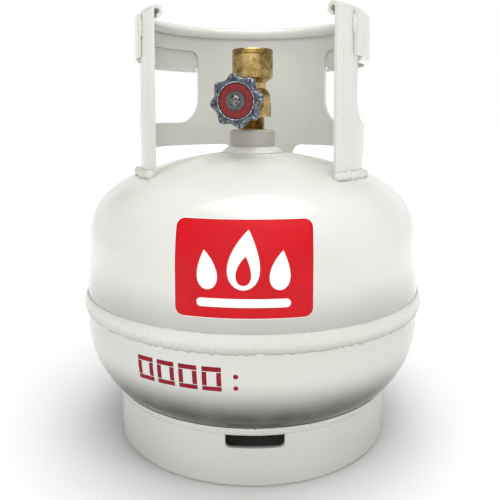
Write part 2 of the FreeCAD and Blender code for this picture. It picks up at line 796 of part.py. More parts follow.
def make_collar_welds():
    """Beads that hold the three feet of the collar to the crown."""
    past = size["foot_bead_past"]
    path = size["collar_radius"] + size["foot_bead_out"]
    height = size["collar_foot"] - size["foot_bead_drop"]
    pieces = []
    for name, side in SIDES:
        start, sweep = sector(side, size["opening_half"] - past, size["drain_near"] + past)
        pieces.append(bead(name + "_foot_bead", path, size["foot_bead"], height, start, sweep))
    back_half = 180.0 - size["drain_far"] + past
    pieces.append(bead("back_foot_bead", path, size["foot_bead"], height, 90.0 - back_half, 2.0 * back_half))
    group("collar_welds", pieces)


def make_grip_welds():
    """Short upright beads that hold the ends of the grips to the collar."""
    pieces = []
    for name, side in SIDES:
        near = size["grip_near"] - size["grip_bead_past"]
        far = size["grip_far"] + size["grip_bead_past"]
        for end, bearing in (("near", near), ("far", far)):
            angle = front_angle(side, bearing)
            piece = doc.addObject("Part::Cylinder", "%s_%s_grip_bead" % (name, end))
            bind(piece, "Radius", size["grip_bead"])
            bind(piece, "Height", size["grip_bead_length"])
            reach = size["collar_radius"] + size["grip_bead_out"]
            bind(piece, "Placement.Base.x", reach * cosine(angle))
            bind(piece, "Placement.Base.y", reach * sine(angle))
            top = size["rim_height"] - size["grip_bead_drop"]
            bind(piece, "Placement.Base.z", top - size["grip_bead_length"])
            pieces.append(piece)
    group("grip_welds", pieces)


# ---------------------------------------------------------------- foot ring

def make_foot_ring():
    """Foot ring with an edge turned in to stand on, and slots under the head."""
    outer = size["ring_radius"]
    sheet_thick = size["ring_plate"]
    inner = outer - sheet_thick
    turn = size["ring_turn"]
    crease = turn - sheet_thick
    tread_out = outer - turn
    tread_in = tread_out - size["ring_tread"]
    body = new_body("foot_ring")
    revolve(body, "ring", [
        (outer, size["ring_top"]),
        (inner, size["ring_top"]),
        (inner, turn, crease, "left"),
        (tread_out, sheet_thick),
        (tread_in, sheet_thick, crease, "left"),
        (tread_in - crease, turn),
        (tread_in - turn, turn, turn, "right"),
        (tread_in, 0.0),
        (tread_out, 0.0, turn, "right"),
        (outer, turn),
    ])
    half = size["slot_half"]
    start = size["slot_bearing"] - half
    slot = rectangle(inner - CLEAR, outer + CLEAR, size["slot_sill"], size["ring_top"] + CLEAR)
    cut = groove(body, "slot", slot, start, 2.0 * half)
    polar(body, "slots", cut, size["slot_count"])
    step = FULL_TURN / size["slot_count"].number
    angles = []
    for number in range(int(size["slot_count"].number)):
        angles.append(start + step * number)
        angles.append(start + step * number + 2.0 * half)
    reach = sheet_thick.number * THROUGH
    round_edges(body, "slot_corners", size["slot_round"], radial_edge(angles, size["slot_sill"], reach))


def make_foot_weld():
    """Fillet weld in the corner between the foot ring and the bottom head."""
    knuckle = size["lower_knuckle"]
    spread = size["body_radius"] - knuckle
    outer = size["ring_radius"]
    inner = outer - size["ring_plate"]
    far = outer + size["ring_weld_reach"]

    def head_at(radius):
        """Height of the bottom head's outer face at a radius."""
        return lower_end - root(knuckle * knuckle - (radius - spread) * (radius - spread))

    body = new_body("foot_weld")
    revolve(body, "bead", [
        (outer, size["ring_weld_low"], size["ring_weld_bulge"], "right"),
        (far, head_at(far), knuckle, "left"),
        (inner, head_at(inner)),
        (outer, size["ring_top"]),
    ])


# ---------------------------------------------------------------- label

def make_label():
    """Thin label that follows the side and the knuckle of the top head."""
    paint = size["label_paint"]
    inner = size["body_radius"] + paint
    outer = inner + size["label_film"]
    knuckle = size["upper_knuckle"]
    spread = size["body_radius"] - knuckle
    rise = size["label_top"] - upper_end + size["label_margin"]
    low = size["label_bottom"] - size["label_margin"]

    def skin_radius(grown):
        """Radius at the label's top of the knuckle grown outwards."""
        return spread + root(grown * grown - rise * rise)

    film = doc.addObject("PartDesign::Body", "label_film_ring")
    half_sweep = size["label_span"]
    grown_in = knuckle + paint
    grown_out = grown_in + size["label_film"]
    revolve(film, "film", [
        (outer, low),
        (outer, upper_end, grown_out, "right"),
        (skin_radius(grown_out), upper_end + rise),
        (skin_radius(grown_in), upper_end + rise, grown_in, "left"),
        (inner, upper_end),
        (inner, low),
    ], start=size["label_bearing"] - half_sweep, sweep=2.0 * half_sweep)
    cutter = doc.addObject("Part::Box", "label_block")
    bind(cutter, "Length", size["body_radius"])
    bind(cutter, "Width", size["label_width"])
    bind(cutter, "Height", size["label_top"] - size["label_bottom"])
    doc.recompute()
    rounded = doc.addObject("Part::Fillet", "label_corners")
    rounded.Base = cutter
    along = [number for number, edge in enumerate(cutter.Shape.Edges, start=1) if runs_along_x(edge)]
    rounded.Edges = [(number, size["label_round"].number, size["label_round"].number) for number in along]
    half = size["label_width"] / 2.0
    bearing = size["label_bearing"]
    reach = size["body_radius"] / 2.0
    bind(rounded, "Placement.Base.x", reach * cosine(bearing) + half * sine(bearing))
    bind(rounded, "Placement.Base.y", reach * sine(bearing) - half * cosine(bearing))
    bind(rounded, "Placement.Base.z", size["label_bottom"])
    bind(rounded, "Placement.Rotation.Angle", bearing)
    common = doc.addObject("Part::Common", "label")
    common.Base = film
    common.Tool = rounded
    nodes.append(common)


def runs_along_x(edge):
    """Whether an edge of a block runs along X."""
    return abs(edge.tangentAt(edge.FirstParameter).x) > 0.99


# ---------------------------------------------------------------- valve body

def make_valve_body():
    """Brass body: inlet thread, wrench flats, belly, neck and an outlet that faces up."""
    thread = size["inlet_radius"]
    groove_floor = thread - size["inlet_groove"]
    pitch = size["inlet_pitch"]
    first = size["bung_top"] + size["inlet_first"]
    block_corner = size["block_flat"] / cosine(as_size(HEX_HALF_TURN))
    line = size["cup_line"]
    line_half = size["cup_line_half"]
    cup = size["cup_radius"]
    chamfer = size["cup_chamfer"]
    corners = [
        (0.0, size["inlet_end"]),
        (groove_floor, size["inlet_end"]),
        (thread, size["inlet_end"] + pitch),
    ]
    for turn in range(int(size["inlet_turns"].number)):
        corners.append((thread, first + pitch * turn))
        corners.append((groove_floor, first + pitch * turn + pitch / 2.0))
    corners += [
        (thread, first + pitch * size["inlet_turns"]),
        (thread, size["block_low"]),
        (block_corner, size["block_low"]),
        (block_corner, size["block_high"]),
        (size["belly_radius"], size["block_high"]),
        (size["belly_radius"], size["belly_high"], size["belly_bulge"], "right"),
        (size["neck_radius"], size["neck_low"]),
        (size["neck_radius"], size["neck_high"]),
        (cup, size["cup_low"]),
        (cup, line - line_half),
        (cup - line_half, line),
        (cup, line + line_half),
        (cup, size["cup_top"] - chamfer),
        (cup - chamfer, size["cup_top"]),
        (size["cup_bore"] + chamfer, size["cup_top"]),
        (size["cup_bore"], size["cup_top"] - chamfer),
        (size["cup_bore"], size["cup_floor"]),
        (0.0, size["cup_floor"] - size["cup_dish"]),
    ]
    body = new_body("valve_body")
    revolve(body, "turned_blank", corners)

    cut_hexagon(body, "wrench_flats", size["block_flat"], size["block_low"], size["block_high"])
    axis_height = size["stem_height"]
    side_on = (0.0, axis_height)
    reach = size["bonnet_reach"]
    pad(body, "bonnet_side", "XZ_Plane", 0.0, reach, lambda s: circle(s, side_on, size["bonnet_radius"]))
    back = size["relief_reach"]
    pad(body, "relief_side", "XZ_Plane", -back, back, lambda s: circle(s, side_on, size["relief_radius"]))
    inlet_depth = axis_height - size["inlet_end"] + size["inlet_way"]
    ways = (
        ("inlet_way", "XY_Plane", size["inlet_end"], inlet_depth, (0.0, 0.0), size["inlet_way"], True),
        ("socket", "XZ_Plane", reach, reach - size["socket_floor"], side_on, size["socket_radius"], False),
        ("chamber", "XZ_Plane", reach, reach - size["seat_plane"], side_on, size["chamber_radius"], False),
        ("seat_way", "XZ_Plane", reach, reach, side_on, size["seat_way"], False),
        ("relief_chamber", "XZ_Plane", -back, back - size["relief_plane"], side_on,
         size["relief_bore"], True),
        ("relief_way", "XZ_Plane", -back, back, side_on, size["relief_way"], True),
        ("riser", "XY_Plane", size["cup_floor"], size["cup_floor"] - axis_height,
         (0.0, -size["riser_offset"]), size["riser_radius"], False),
    )
    for name, role, lift, depth, centre, radius, outwards in ways:
        pocket(body, name, role, lift, depth, lambda s, c=centre, r=radius: circle(s, c, r), outwards)
    bind(body, "Placement.Rotation.Angle", size["valve_yaw"])


# ---------------------------------------------------------------- spindle and bonnet

def washer(label, hole, radius, start, end, roll=90):
    """A plain ring or disc laid along the spindle's axis."""
    body = new_body(label)
    revolve(body, "ring", rectangle(hole, radius, start, end))
    stand_on_stem(body, roll)
    return body


def make_bonnet_nut():
    """Bonnet nut with a spigot, a hexagon, a nose and a groove for the stem seal."""
    shaft = size["spindle_radius"] + size["slide_play"]
    spigot = size["socket_radius"] - size["slide_play"]
    corner = size["nut_flat"] / cosine(as_size(HEX_HALF_TURN))
    step = size["spindle_collar_start"] - size["throat_play"]
    body = new_body("bonnet_nut")
    revolve(body, "turned_blank", [
        (size["nut_cavity"], size["nut_start"]),
        (spigot, size["nut_start"]),
        (spigot, size["nut_hex_start"]),
        (corner, size["nut_hex_start"]),
        (corner, size["nut_hex_end"]),
        (size["nut_nose_radius"], size["nut_hex_end"]),
        (size["nut_nose_radius"], size["nut_nose_end"]),
        (shaft, size["nut_nose_end"]),
        (shaft, size["groove_end"]),
        (size["groove_radius"], size["groove_end"]),
        (size["groove_radius"], size["groove_start"]),
        (shaft, size["groove_start"]),
        (shaft, size["thrust_end"]),
        (size["nut_throat"], size["thrust_end"]),
        (size["nut_throat"], step),
        (size["nut_cavity"], step),
    ])
    cut_hexagon(body, "wrench_flats", size["nut_flat"], size["nut_hex_start"], size["nut_hex_end"])
    stand_on_stem(body, 90)


def cut_hexagon(body, name, flat, low, high):
    """Cut a round blank down to a hexagon between two heights."""
    corner = flat / cosine(as_size(HEX_HALF_TURN))

    def draw(sketch):
        """The blank's margin outside the hexagon."""
        outline(sketch, hexagon(flat))
        circle(sketch, (0.0, 0.0), corner + CLEAR)

    pocket(body, name, "XY_Plane", high, high - low, draw)


def make_stem_seal():
    """O-ring round the spindle."""
    wire = size["seal_wire"]
    piece = doc.addObject("Part::Torus", "stem_seal")
    bind(piece, "Radius1", size["spindle_radius"] + size["slide_play"] + wire)
    bind(piece, "Radius2", wire)
    middle = (size["groove_start"] + size["groove_end"]) / 2.0
    yaw = size["valve_yaw"]
    place = "create(<<vector>>; %s; %s; Sizes.stem_height)" % (
        (middle * sine(yaw)).formula, (-(middle * cosine(yaw))).formula)
    turn = "create(<<rotation>>; Sizes.valve_yaw; 0; 90)"
    piece.setExpression("Placement", "create(<<placement>>; %s; %s)" % (place, turn))
    nodes.append(piece)


def make_upper_spindle():
    """Spindle that the wheel turns: tang, collar, shaft and square."""
    half_square = size["spindle_square"] / 2.0
    half_tang = size["tang_width"] / 2.0
    half_height = size["tang_height"] / 2.0
    collar_start = size["spindle_collar_start"]
    body = new_body("upper_spindle")
    revolve(body, "turned_blank", [
        (0.0, collar_start),
        (size["spindle_collar_radius"], collar_start),
        (size["spindle_collar_radius"], size["spindle_collar_end"]),
        (size["spindle_radius"], size["spindle_collar_end"]),
        (size["spindle_radius"], size["square_start"]),
        (0.0, size["square_start"]),
    ])
    square = rectangle(-half_square, half_square, -half_square, half_square)
    length = size["spindle_end"] - size["square_start"]
    pad(body, "square", "XY_Plane", size["square_start"], length, lambda s: outline(s, square))
    tang = rectangle(-half_tang, half_tang, -half_height, half_height)
    length = collar_start - size["tang_start"]
    pad(body, "tang", "XY_Plane", size["tang_start"], length, lambda s: outline(s, tang))
    depth = size["spindle_end"] - size["screw_bore_floor"]
    bore = size["screw_shank"] + size["slide_play"]
    pocket(body, "screw_hole", "XY_Plane", size["spindle_end"], depth, lambda s: circle(s, (0.0, 0.0), bore))
    stand_on_stem(body, 90)


def make_lower_spindle():
    """Seat carrier that the tang turns and its thread moves."""
    radius = size["chamber_radius"] - size["slide_play"]
    half = size["carrier_slot"] / 2.0
    recess = size["seat_gap"] + size["seat_plane"] + size["seat_disc_thick"]
    disc = size["seat_disc_radius"] + size["slide_play"]
    body = new_body("lower_spindle")
    revolve(body, "carrier", [
        (disc, size["carrier_start"]),
        (radius, size["carrier_start"]),
        (radius, size["carrier_end"]),
        (0.0, size["carrier_end"]),
        (0.0, recess),
        (disc, recess),
    ])
    slot = rectangle(-half, half, -(radius + CLEAR), radius + CLEAR)
    depth = size["carrier_end"] - size["carrier_slot_floor"]
    pocket(body, "slot", "XY_Plane", size["carrier_end"], depth, lambda s: outline(s, slot))
    stand_on_stem(body, 90)


# ---------------------------------------------------------------- handwheel

def make_handwheel():
    """Cast handwheel with rounded lobes and a recessed front."""
    body = new_body("handwheel")
    front = size["wheel_front"]
    web = size["wheel_web"]
    revolve(body, "wheel", [
        (0.0, size["wheel_back"]),
        (size["wheel_hub_radius"], size["wheel_back"]),
        (size["wheel_hub_radius"], web),
        (size["wheel_root"], web),
        (size["wheel_root"], front),
        (0.0, front),
    ])
    phase = size["lobe_phase"]
    centre = (size["lobe_circle"] * cosine(phase), size["lobe_circle"] * sine(phase))
    lobe = pad(body, "lobe", "XY_Plane", web, front - web, lambda s: circle(s, centre, size["lobe_radius"]))
    polar(body, "lobes", lobe, size["lobe_count"])

    def outer_edge(edge):
        """Edges of the wheel's outline, front and back."""
        middle = edge.BoundBox.Center
        level = min(abs(middle.z - front.number), abs(middle.z - web.number)) < SAME_PLACE
        flat = edge.BoundBox.ZLength < SAME_PLACE
        span = math.hypot(edge.Vertexes[0].X, edge.Vertexes[0].Y)
        return level and flat and span > size["recess_radius"].number

    round_edges(body, "soft_edges", size["wheel_edge"], outer_edge)
    depth = front - size["recess_floor"]
    recess = size["recess_radius"]
    pocket(body, "recess", "XY_Plane", front, depth, lambda s: circle(s, (0.0, 0.0), recess))
    half = size["spindle_square"] / 2.0 + size["square_play"]
    square = rectangle(-half, half, -half, half)
    through = front - size["wheel_back"]
    pocket(body, "square_hole", "XY_Plane", front, through, lambda s: outline(s, square))
    stand_on_stem(body, 90)


def make_wheel_fittings():
    """Disc, washer and slotted screw on the front of the wheel."""
    shank = size["screw_shank"]
    hole = shank + size["slide_play"]
    disc_end = size["recess_floor"] + size["disc_thick"]
    washer_end = disc_end + size["wheel_washer_thick"]
    washer("wheel_disc", hole, size["disc_radius"], size["recess_floor"], disc_end)
    washer("wheel_washer", hole, size["wheel_washer_radius"], disc_end, washer_end)
    head = size["screw_head_radius"]
    head_end = washer_end + size["screw_head_thick"]
    body = new_body("wheel_screw")
    revolve(body, "turned_blank", [
        (0.0, size["screw_shank_start"]),
        (shank, size["screw_shank_start"]),
        (shank, washer_end),
        (head, washer_end),
        (head, head_end - size["screw_crown_high"]),
        (head - size["screw_crown"], head_end),
        (0.0, head_end),
    ])
    half = size["screw_slot_width"] / 2.0
    slot = rectangle(-(head + CLEAR), head + CLEAR, -half, half)
    depth = size["screw_slot_depth"]
    pocket(body, "slot", "XY_Plane", head_end, depth, lambda s: outline(s, slot))
    stand_on_stem(body, 90)


# ---------------------------------------------------------------- relief valve

def make_relief_valve():
    """Spring-loaded relief poppet and its cap, on the back of the valve body."""
    face = size["relief_plane"] + size["seat_gap"]
    washer("relief_seal", 0.0, size["relief_seal_radius"], face, size["relief_seal_end"], roll=-90)
    poppet = new_body("relief_poppet")
    revolve(poppet, "poppet", [
        (0.0, size["relief_seal_end"]),
        (size["poppet_radius"], size["relief_seal_end"]),
        (size["poppet_radius"], size["poppet_disc_end"]),
        (size["poppet_stem"], size["poppet_disc_end"]),
        (size["poppet_stem"], size["poppet_end"]),
        (0.0, size["poppet_end"]),
    ])
    stand_on_stem(poppet, -90)
    thread = size["relief_bore"] - size["slide_play"]
    corner = size["relief_cap_flat"] / cosine(as_size(HEX_HALF_TURN))
    cap = new_body("relief_cap")
    revolve(cap, "turned_blank", [
        (size["relief_cap_hole"], size["relief_cap_start"]),
        (thread, size["relief_cap_start"]),
        (thread, size["relief_reach"]),
        (corner, size["relief_reach"]),
        (corner, size["relief_cap_end"]),
        (size["relief_cap_hole"], size["relief_cap_end"]),
    ])
    cut_hexagon(cap, "wrench_flats", size["relief_cap_flat"], size["relief_reach"], size["relief_cap_end"])
    depth = size["relief_cap_end"] - size["relief_cap_start"]
    centre = (size["vent_circle"], 0.0)
    vent = pocket(cap, "vent", "XY_Plane", size["relief_cap_end"], depth,
                  lambda s: circle(s, centre, size["vent_radius"]))
    polar(cap, "vents", vent, size["vent_count"])
    stand_on_stem(cap, -90)


def make_relief_spring():
    """Coil spring between the poppet's disc and the cap."""
    wire = size["spring_wire"].number
    radius = size["spring_radius"].number
    play = size["spring_play"].number
    low = size["poppet_disc_end"].number + wire + play
    high = size["relief_cap_start"].number - wire - play
    coil = Part.makeHelix((high - low) / size["spring_turns"].number, high - low, radius)
    section = Part.Wire(Part.makeCircle(wire, FreeCAD.Vector(radius, 0, 0), FreeCAD.Vector(0, 1, 0)))
    swept = Part.Wire(coil.Edges).makePipeShell([section], True, True)
    spring = doc.addObject("Part::Feature", "relief_spring")
    spring.Shape = swept
    back = FreeCAD.Rotation(size["valve_yaw"].number, 0, -90)
    up = FreeCAD.Vector(0, 0, size["stem_height"].number)
    spring.Placement = FreeCAD.Placement(up + back.multVec(FreeCAD.Vector(0, 0, low)), back)
    nodes.append(spring)


# ---------------------------------------------------------------- build and write

def build():
    """Make every node."""
    upper_drop = make_upper_shell()
    make_lower_shell()
    make_girth_weld()
    make_valve_boss()
    make_boss_weld(upper_drop)
    make_collar()
    make_grips()
    make_collar_welds()
    make_grip_welds()
    make_foot_ring()
    make_foot_weld()
    make_label()
    make_valve_body()
    make_bonnet_nut()
    washer("thrust_washer", size["thrust_hole"], size["thrust_radius"],
           size["spindle_collar_end"] + size["thrust_play"], size["thrust_end"] - size["thrust_play"])
    make_stem_seal()
    make_upper_spindle()
    make_lower_spindle()
    face = size["seat_plane"] + size["seat_gap"]
    washer("seat_disc", 0.0, size["seat_disc_radius"], face, face + size["seat_disc_thick"])
    make_handwheel()
    make_wheel_fittings()
    make_relief_valve()
    make_relief_spring()


def check():
    """Stop if anything in the document failed or a node has no sound shape."""
    doc.recompute()
    for item in doc.Objects:
        if "Invalid" in item.State or "Error" in item.State:
            raise RuntimeError("%s failed: %s" % (item.Label, item.State))
    for node in nodes:
        if node.Shape.isNull() or not node.Shape.isValid() or not node.Shape.Solids:
            raise RuntimeError(node.Label + " has no sound shape")


def write():
    """Write one file per node."""
    os.makedirs("parts", exist_ok=True)
    for node in nodes:
        node.Shape.exportStep("parts/%s.step" % node.Label)
        box = node.Shape.optimalBoundingBox()
        print("%-16s %10.1f mm3, z %.1f to %.1f, %d solid(s)" % (
            node.Label, node.Shape.Volume, box.ZMin, box.ZMax, len(node.Shape.Solids)))


build()
check()
write()
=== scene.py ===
import logging
import math
from dataclasses import dataclass, field
from enum import Enum
from typing import Callable, Sequence

import bmesh
import bpy
from bmesh.types import BMesh
from bpy.types import Material, Node, NodeOutputs, NodeSocket, NodeTree, Object
from mathutils import Matrix, Vector, noise


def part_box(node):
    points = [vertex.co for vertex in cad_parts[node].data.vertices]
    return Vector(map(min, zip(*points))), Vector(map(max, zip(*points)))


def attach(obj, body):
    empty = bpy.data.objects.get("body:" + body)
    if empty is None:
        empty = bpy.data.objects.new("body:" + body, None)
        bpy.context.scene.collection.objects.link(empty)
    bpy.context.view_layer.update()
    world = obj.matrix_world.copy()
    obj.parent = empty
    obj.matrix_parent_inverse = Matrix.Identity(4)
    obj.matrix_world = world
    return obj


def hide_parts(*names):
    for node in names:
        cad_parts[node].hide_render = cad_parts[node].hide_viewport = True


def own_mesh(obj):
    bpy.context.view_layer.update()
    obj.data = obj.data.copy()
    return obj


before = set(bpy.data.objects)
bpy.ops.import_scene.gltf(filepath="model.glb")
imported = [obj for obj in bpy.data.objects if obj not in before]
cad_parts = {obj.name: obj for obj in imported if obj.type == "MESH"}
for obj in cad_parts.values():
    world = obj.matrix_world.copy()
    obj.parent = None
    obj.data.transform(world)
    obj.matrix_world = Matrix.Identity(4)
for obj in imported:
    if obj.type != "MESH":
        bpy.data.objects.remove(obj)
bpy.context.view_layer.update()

log = logging.getLogger("gas_cylinder")

MM = 0.001
FULL_TURN = 360.0
UP = Vector((0.0, 0.0, 1.0))
Colour = tuple[float, float, float]
Row = tuple[float, float, float]
Section = Callable[[float, float], tuple[float, float]]


class Body(str, Enum):
    """Bodies that the pieces ride on."""

    TANK = "tank"
    WHEEL = "handwheel"


class Slot(str, Enum):
    """Finish slots of the record, not used by the code below."""

    PAINT = "tank_paint"
    LABEL = "label_film"
    BRASS = "brass"
    WHEEL = "wheel_paint"
    STEEL = "plated_steel"


# ---------------------------------------------------------------- shader building


class NodeMaker:
    """A node tree, with short ways to add nodes to it."""

    def __init__(self, tree: NodeTree) -> None:
        """Take the tree to add to."""
        self.tree = tree

    def link(self, source: NodeSocket, target: NodeSocket) -> None:
        """Link an output to an input."""
        self.tree.links.new(source, target)

    def add(self, kind: str, **settings: str | bool) -> Node:
        """Add a node.

        Args:
            kind: Blender's name for the type of node.
            settings: the node's own settings, such as its operation.

        Returns:
            The node.
        """
        node = self.tree.nodes.new(kind)
        for name, value in settings.items():
            setattr(node, name, value)
        return node

    def axes(self, source: NodeSocket) -> NodeOutputs:
        """Split a place or a direction into its three parts.

        Args:
            source: the place or direction.

        Returns:
            Its X, Y and Z outputs.
        """
        node = self.add("ShaderNodeSeparateXYZ")
        self.link(source, node.inputs["Vector"])
        return node.outputs

    def span(self, source: NodeSocket, low: float, high: float, out_low: float = 0.0,
             out_high: float = 1.0) -> NodeSocket:
        """Map a value from one range to another, clamped and smoothed.

        Args:
            source: the value.
            low: source value that gives out_low.
            high: source value that gives out_high.
            out_low: result at low.
            out_high: result at high.

        Returns:
            The mapped value.
        """
        node = self.add("ShaderNodeMapRange", interpolation_type="SMOOTHSTEP")
        self.link(source, node.inputs["Value"])
        for socket, value in zip(("From Min", "From Max", "To Min", "To Max"),
                                 (low, high, out_low, out_high)):
            node.inputs[socket].default_value = value
        return node.outputs["Result"]

    def math(self, kind: str, *values: NodeSocket, clamp: bool = False) -> NodeSocket:
        """Join values with a Math node.

        Args:
            kind: the node's operation, such as MULTIPLY.
            values: the values, in the order of the node's inputs.
            clamp: whether the result stays between 0 and 1.

        Returns:
            The result.
        """
        node = self.add("ShaderNodeMath", operation=kind, use_clamp=clamp)
        for value, socket in zip(values, node.inputs):
            self.link(value, socket)
        return node.outputs[0]


class Shader(NodeMaker):
    """A material's node tree round one Principled shader."""

    def __init__(self, name: str) -> None:
        """Start an empty tree that holds the shader and its output.

        Args:
            name: name of the material.
        """
        self.material = bpy.data.materials.new(name)
        self.material.use_nodes = True
        super().__init__(self.material.node_tree)
        self.tree.nodes.clear()
        self.surface = self.add("ShaderNodeBsdfPrincipled")
        output = self.add("ShaderNodeOutputMaterial")
        self.link(self.surface.outputs["BSDF"], output.inputs["Surface"])
        self.place = self.add("ShaderNodeTexCoord").outputs["Object"]

    def set(self, **values: float | Colour) -> None:
        """Set uniform values on the shader's own sockets.

        Args:
            values: socket names with underscores for spaces, and their values.
        """
        for name, value in values.items():
            socket = self.surface.inputs[name.replace("_", " ")]
            socket.default_value = (*value, 1.0) if isinstance(value, tuple) else value

    def feed(self, name: str, source: NodeSocket) -> None:
        """Link a varying value to one of the shader's sockets."""
        self.link(source, self.surface.inputs[name])

    def height(self) -> NodeSocket:
        """Height above the base, in metres."""
        return self.axes(self.place)["Z"]

    def noise(self, size: float, detail: float = 3.0, roughness: float = 0.55,
              stretch: Sequence[float] = (1.0, 1.0, 1.0)) -> NodeSocket:
        """Add a noise texture.

        Args:
            size: size of the noise's features, in metres.
            detail: octaves of the noise.
            roughness: weight of the finer octaves.
            stretch: factors on the three directions, small for long features.

        Returns:
            The noise's value, about 0 to 1.
        """
        mapping = self.add("ShaderNodeMapping")
        mapping.inputs["Scale"].default_value = [factor / size for factor in stretch]
        self.link(self.place, mapping.inputs["Vector"])
        texture = self.add("ShaderNodeTexNoise")
        for socket, value in (("Scale", 1.0), ("Detail", detail), ("Roughness", roughness)):
            texture.inputs[socket].default_value = value
        self.link(mapping.outputs["Vector"], texture.inputs["Vector"])
        return texture.outputs["Fac"]

    def blend(self, factor: NodeSocket, first: Colour | NodeSocket, second: Colour) -> NodeSocket:
        """Blend from a colour to another.

        Args:
            factor: 0 for first, 1 for second.
            first: a colour or a colour socket.
            second: a colour.

        Returns:
            The blended colour.
        """
        node = self.add("ShaderNodeMix", data_type="RGBA")
        self.link(factor, node.inputs["Factor"])
        if isinstance(first, tuple):
            node.inputs[6].default_value = (*first, 1.0)
        else:
            self.link(first, node.inputs[6])
        node.inputs[7].default_value = (*second, 1.0)
        return node.outputs[2]

    def bump(self, *layers: tuple[NodeSocket, float, float]) -> None:
        """Stack bump layers on the shader's normal.

        Args:
            layers: each one's height value, depth in metres and strength.
        """
        normal = None
        for source, depth, strength in layers:
            node = self.add("ShaderNodeBump")
            node.inputs["Strength"].default_value = strength
            node.inputs["Distance"].default_value = depth
            self.link(source, node.inputs["Height"])
            if normal is not None:
                self.link(normal, node.inputs["Normal"])
            normal = node.outputs["Normal"]
        self.feed("Normal", normal)


# ---------------------------------------------------------------- finishes


@dataclass(frozen=True)
class GlossEnamel:
    """Sprayed off-white enamel: slight orange peel, uneven warmth, rust specks low down, and an optional
    painted shade over a band of height.
    """

    name: str = "gloss_enamel"
    light: Colour = (0.66, 0.665, 0.63)
    warm: Colour = (0.615, 0.61, 0.565)
    patch_size: float = 110.0 * MM
    peel_size: float = 2.2 * MM
    peel_depth: float = 0.05 * MM
    wave_size: float = 46.0 * MM
    wave_depth: float = 0.6 * MM
    coarse_size: float = 0.0
    coarse_depth: float = 0.0
    gloss: tuple[float, float] = (0.13, 0.19)
    gloss_size: float = 40.0 * MM
    rust: Colour = (0.10, 0.055, 0.03)
    speck_size: float = 2.6 * MM
    speck_edge: tuple[float, float] = (0.705, 0.74)
    speck_low: float = 34.0 * MM
    speck_high: float = 42.0 * MM
    speck_fade: float = 2.0 * MM
    # Painted shade: strength, mottle size, band of height and colour of a darkening painted into the enamel.
    painted_shade: float = 0.0
    painted_shade_size: float = 24.0 * MM
    painted_shade_span: tuple[float, float] = (49.0 * MM, 80.0 * MM)
    painted_shade_colour: Colour = (0.045, 0.042, 0.034)

    def make(self) -> Material:
        """Build the material and return it."""
        shader = Shader(self.name)
        patches = shader.span(shader.noise(self.patch_size, 2.0), 0.30, 0.70)
        tone = shader.blend(patches, self.light, self.warm)
        tone = shader.blend(self._specks(shader), tone, self.rust)
        # Painted shade: darkest at and below the band's low end, fading out by its high end, mottled a little
        # by noise.
        if self.painted_shade:
            film = shader.span(shader.height(), *self.painted_shade_span, self.painted_shade, 0.0)
            shade_mottle = shader.span(shader.noise(self.painted_shade_size, 2.0), 0.2, 0.8, 0.88, 1.0)
            tone = shader.blend(shader.math("MULTIPLY", film, shade_mottle), tone, self.painted_shade_colour)
        shader.feed("Base Color", tone)
        rough = shader.span(shader.noise(self.gloss_size, 2.0, 0.5), 0.25, 0.75, *self.gloss)
        shader.feed("Roughness", rough)
        shader.set(IOR=1.42, Specular_IOR_Level=0.38, Coat_Weight=0.04, Coat_Roughness=0.05)
        layers = [
            (shader.noise(self.wave_size, 2.0), self.wave_depth, 0.35),
            (shader.noise(self.peel_size, 2.0), self.peel_depth, 0.5),
        ]
        if self.coarse_size:
            layers.append((shader.noise(self.coarse_size, 4.0), self.coarse_depth, 0.7))
        shader.bump(*layers)
        return shader.material

    def _specks(self, shader: Shader) -> NodeSocket:
        """Mask of the rust specks, kept to a band of height.

        Args:
            shader: the finish's shader.

        Returns:
            The mask, 1 on a speck.
        """
        height = shader.height()
        above = shader.span(height, self.speck_low - self.speck_fade, self.speck_low)
        below = shader.span(height, self.speck_high, self.speck_high + self.speck_fade, 1.0, 0.0)
        grains = shader.span(shader.noise(self.speck_size, 2.0), *self.speck_edge)
        return shader.math("MULTIPLY", shader.math("MULTIPLY", above, below), grains)


@dataclass(frozen=True)
class AgedBrass:
    """Brass that has gone brown in patches, forged grain below and fine turning lines above."""

    name: str
    bright: Colour = (0.52, 0.375, 0.145)
    dull: Colour = (0.31, 0.215, 0.075)
    patch_size: float = 9.0 * MM
    brown: Colour = (0.075, 0.042, 0.016)
    spot_size: float = 3.4 * MM
    spot_edge: tuple[float, float] = (0.54, 0.68)
    spot_strength: float = 0.8
    gloss: tuple[float, float] = (0.18, 0.42)
    gloss_size: float = 4.0 * MM
    grain_size: float = 1.3 * MM
    grain_depth: float = 0.12 * MM
    line_pitch: float = 0.35 * MM
    line_depth: float = 0.03 * MM

    def make(self) -> Material:
        """Build the material and return it."""
        shader = Shader(self.name)
        patches = shader.span(shader.noise(self.patch_size, 5.0, 0.62), 0.38, 0.60)
        tone = shader.blend(patches, self.bright, self.dull)
        spots = shader.span(shader.noise(self.spot_size, 6.0, 0.7), *self.spot_edge, 0.0, self.spot_strength)
        shader.feed("Base Color", shader.blend(spots, tone, self.brown))
        shader.feed("Roughness", shader.span(shader.noise(self.gloss_size, 4.0), 0.3, 0.7, *self.gloss))
        shader.set(Metallic=1.0)
        lines = shader.noise(self.line_pitch, 2.0, stretch=(0.02, 0.02, 1.0))
        grain = shader.noise(self.grain_size, 4.0)
        shader.bump((grain, self.grain_depth, 0.6), (lines, self.line_depth, 0.35))
        return shader.material


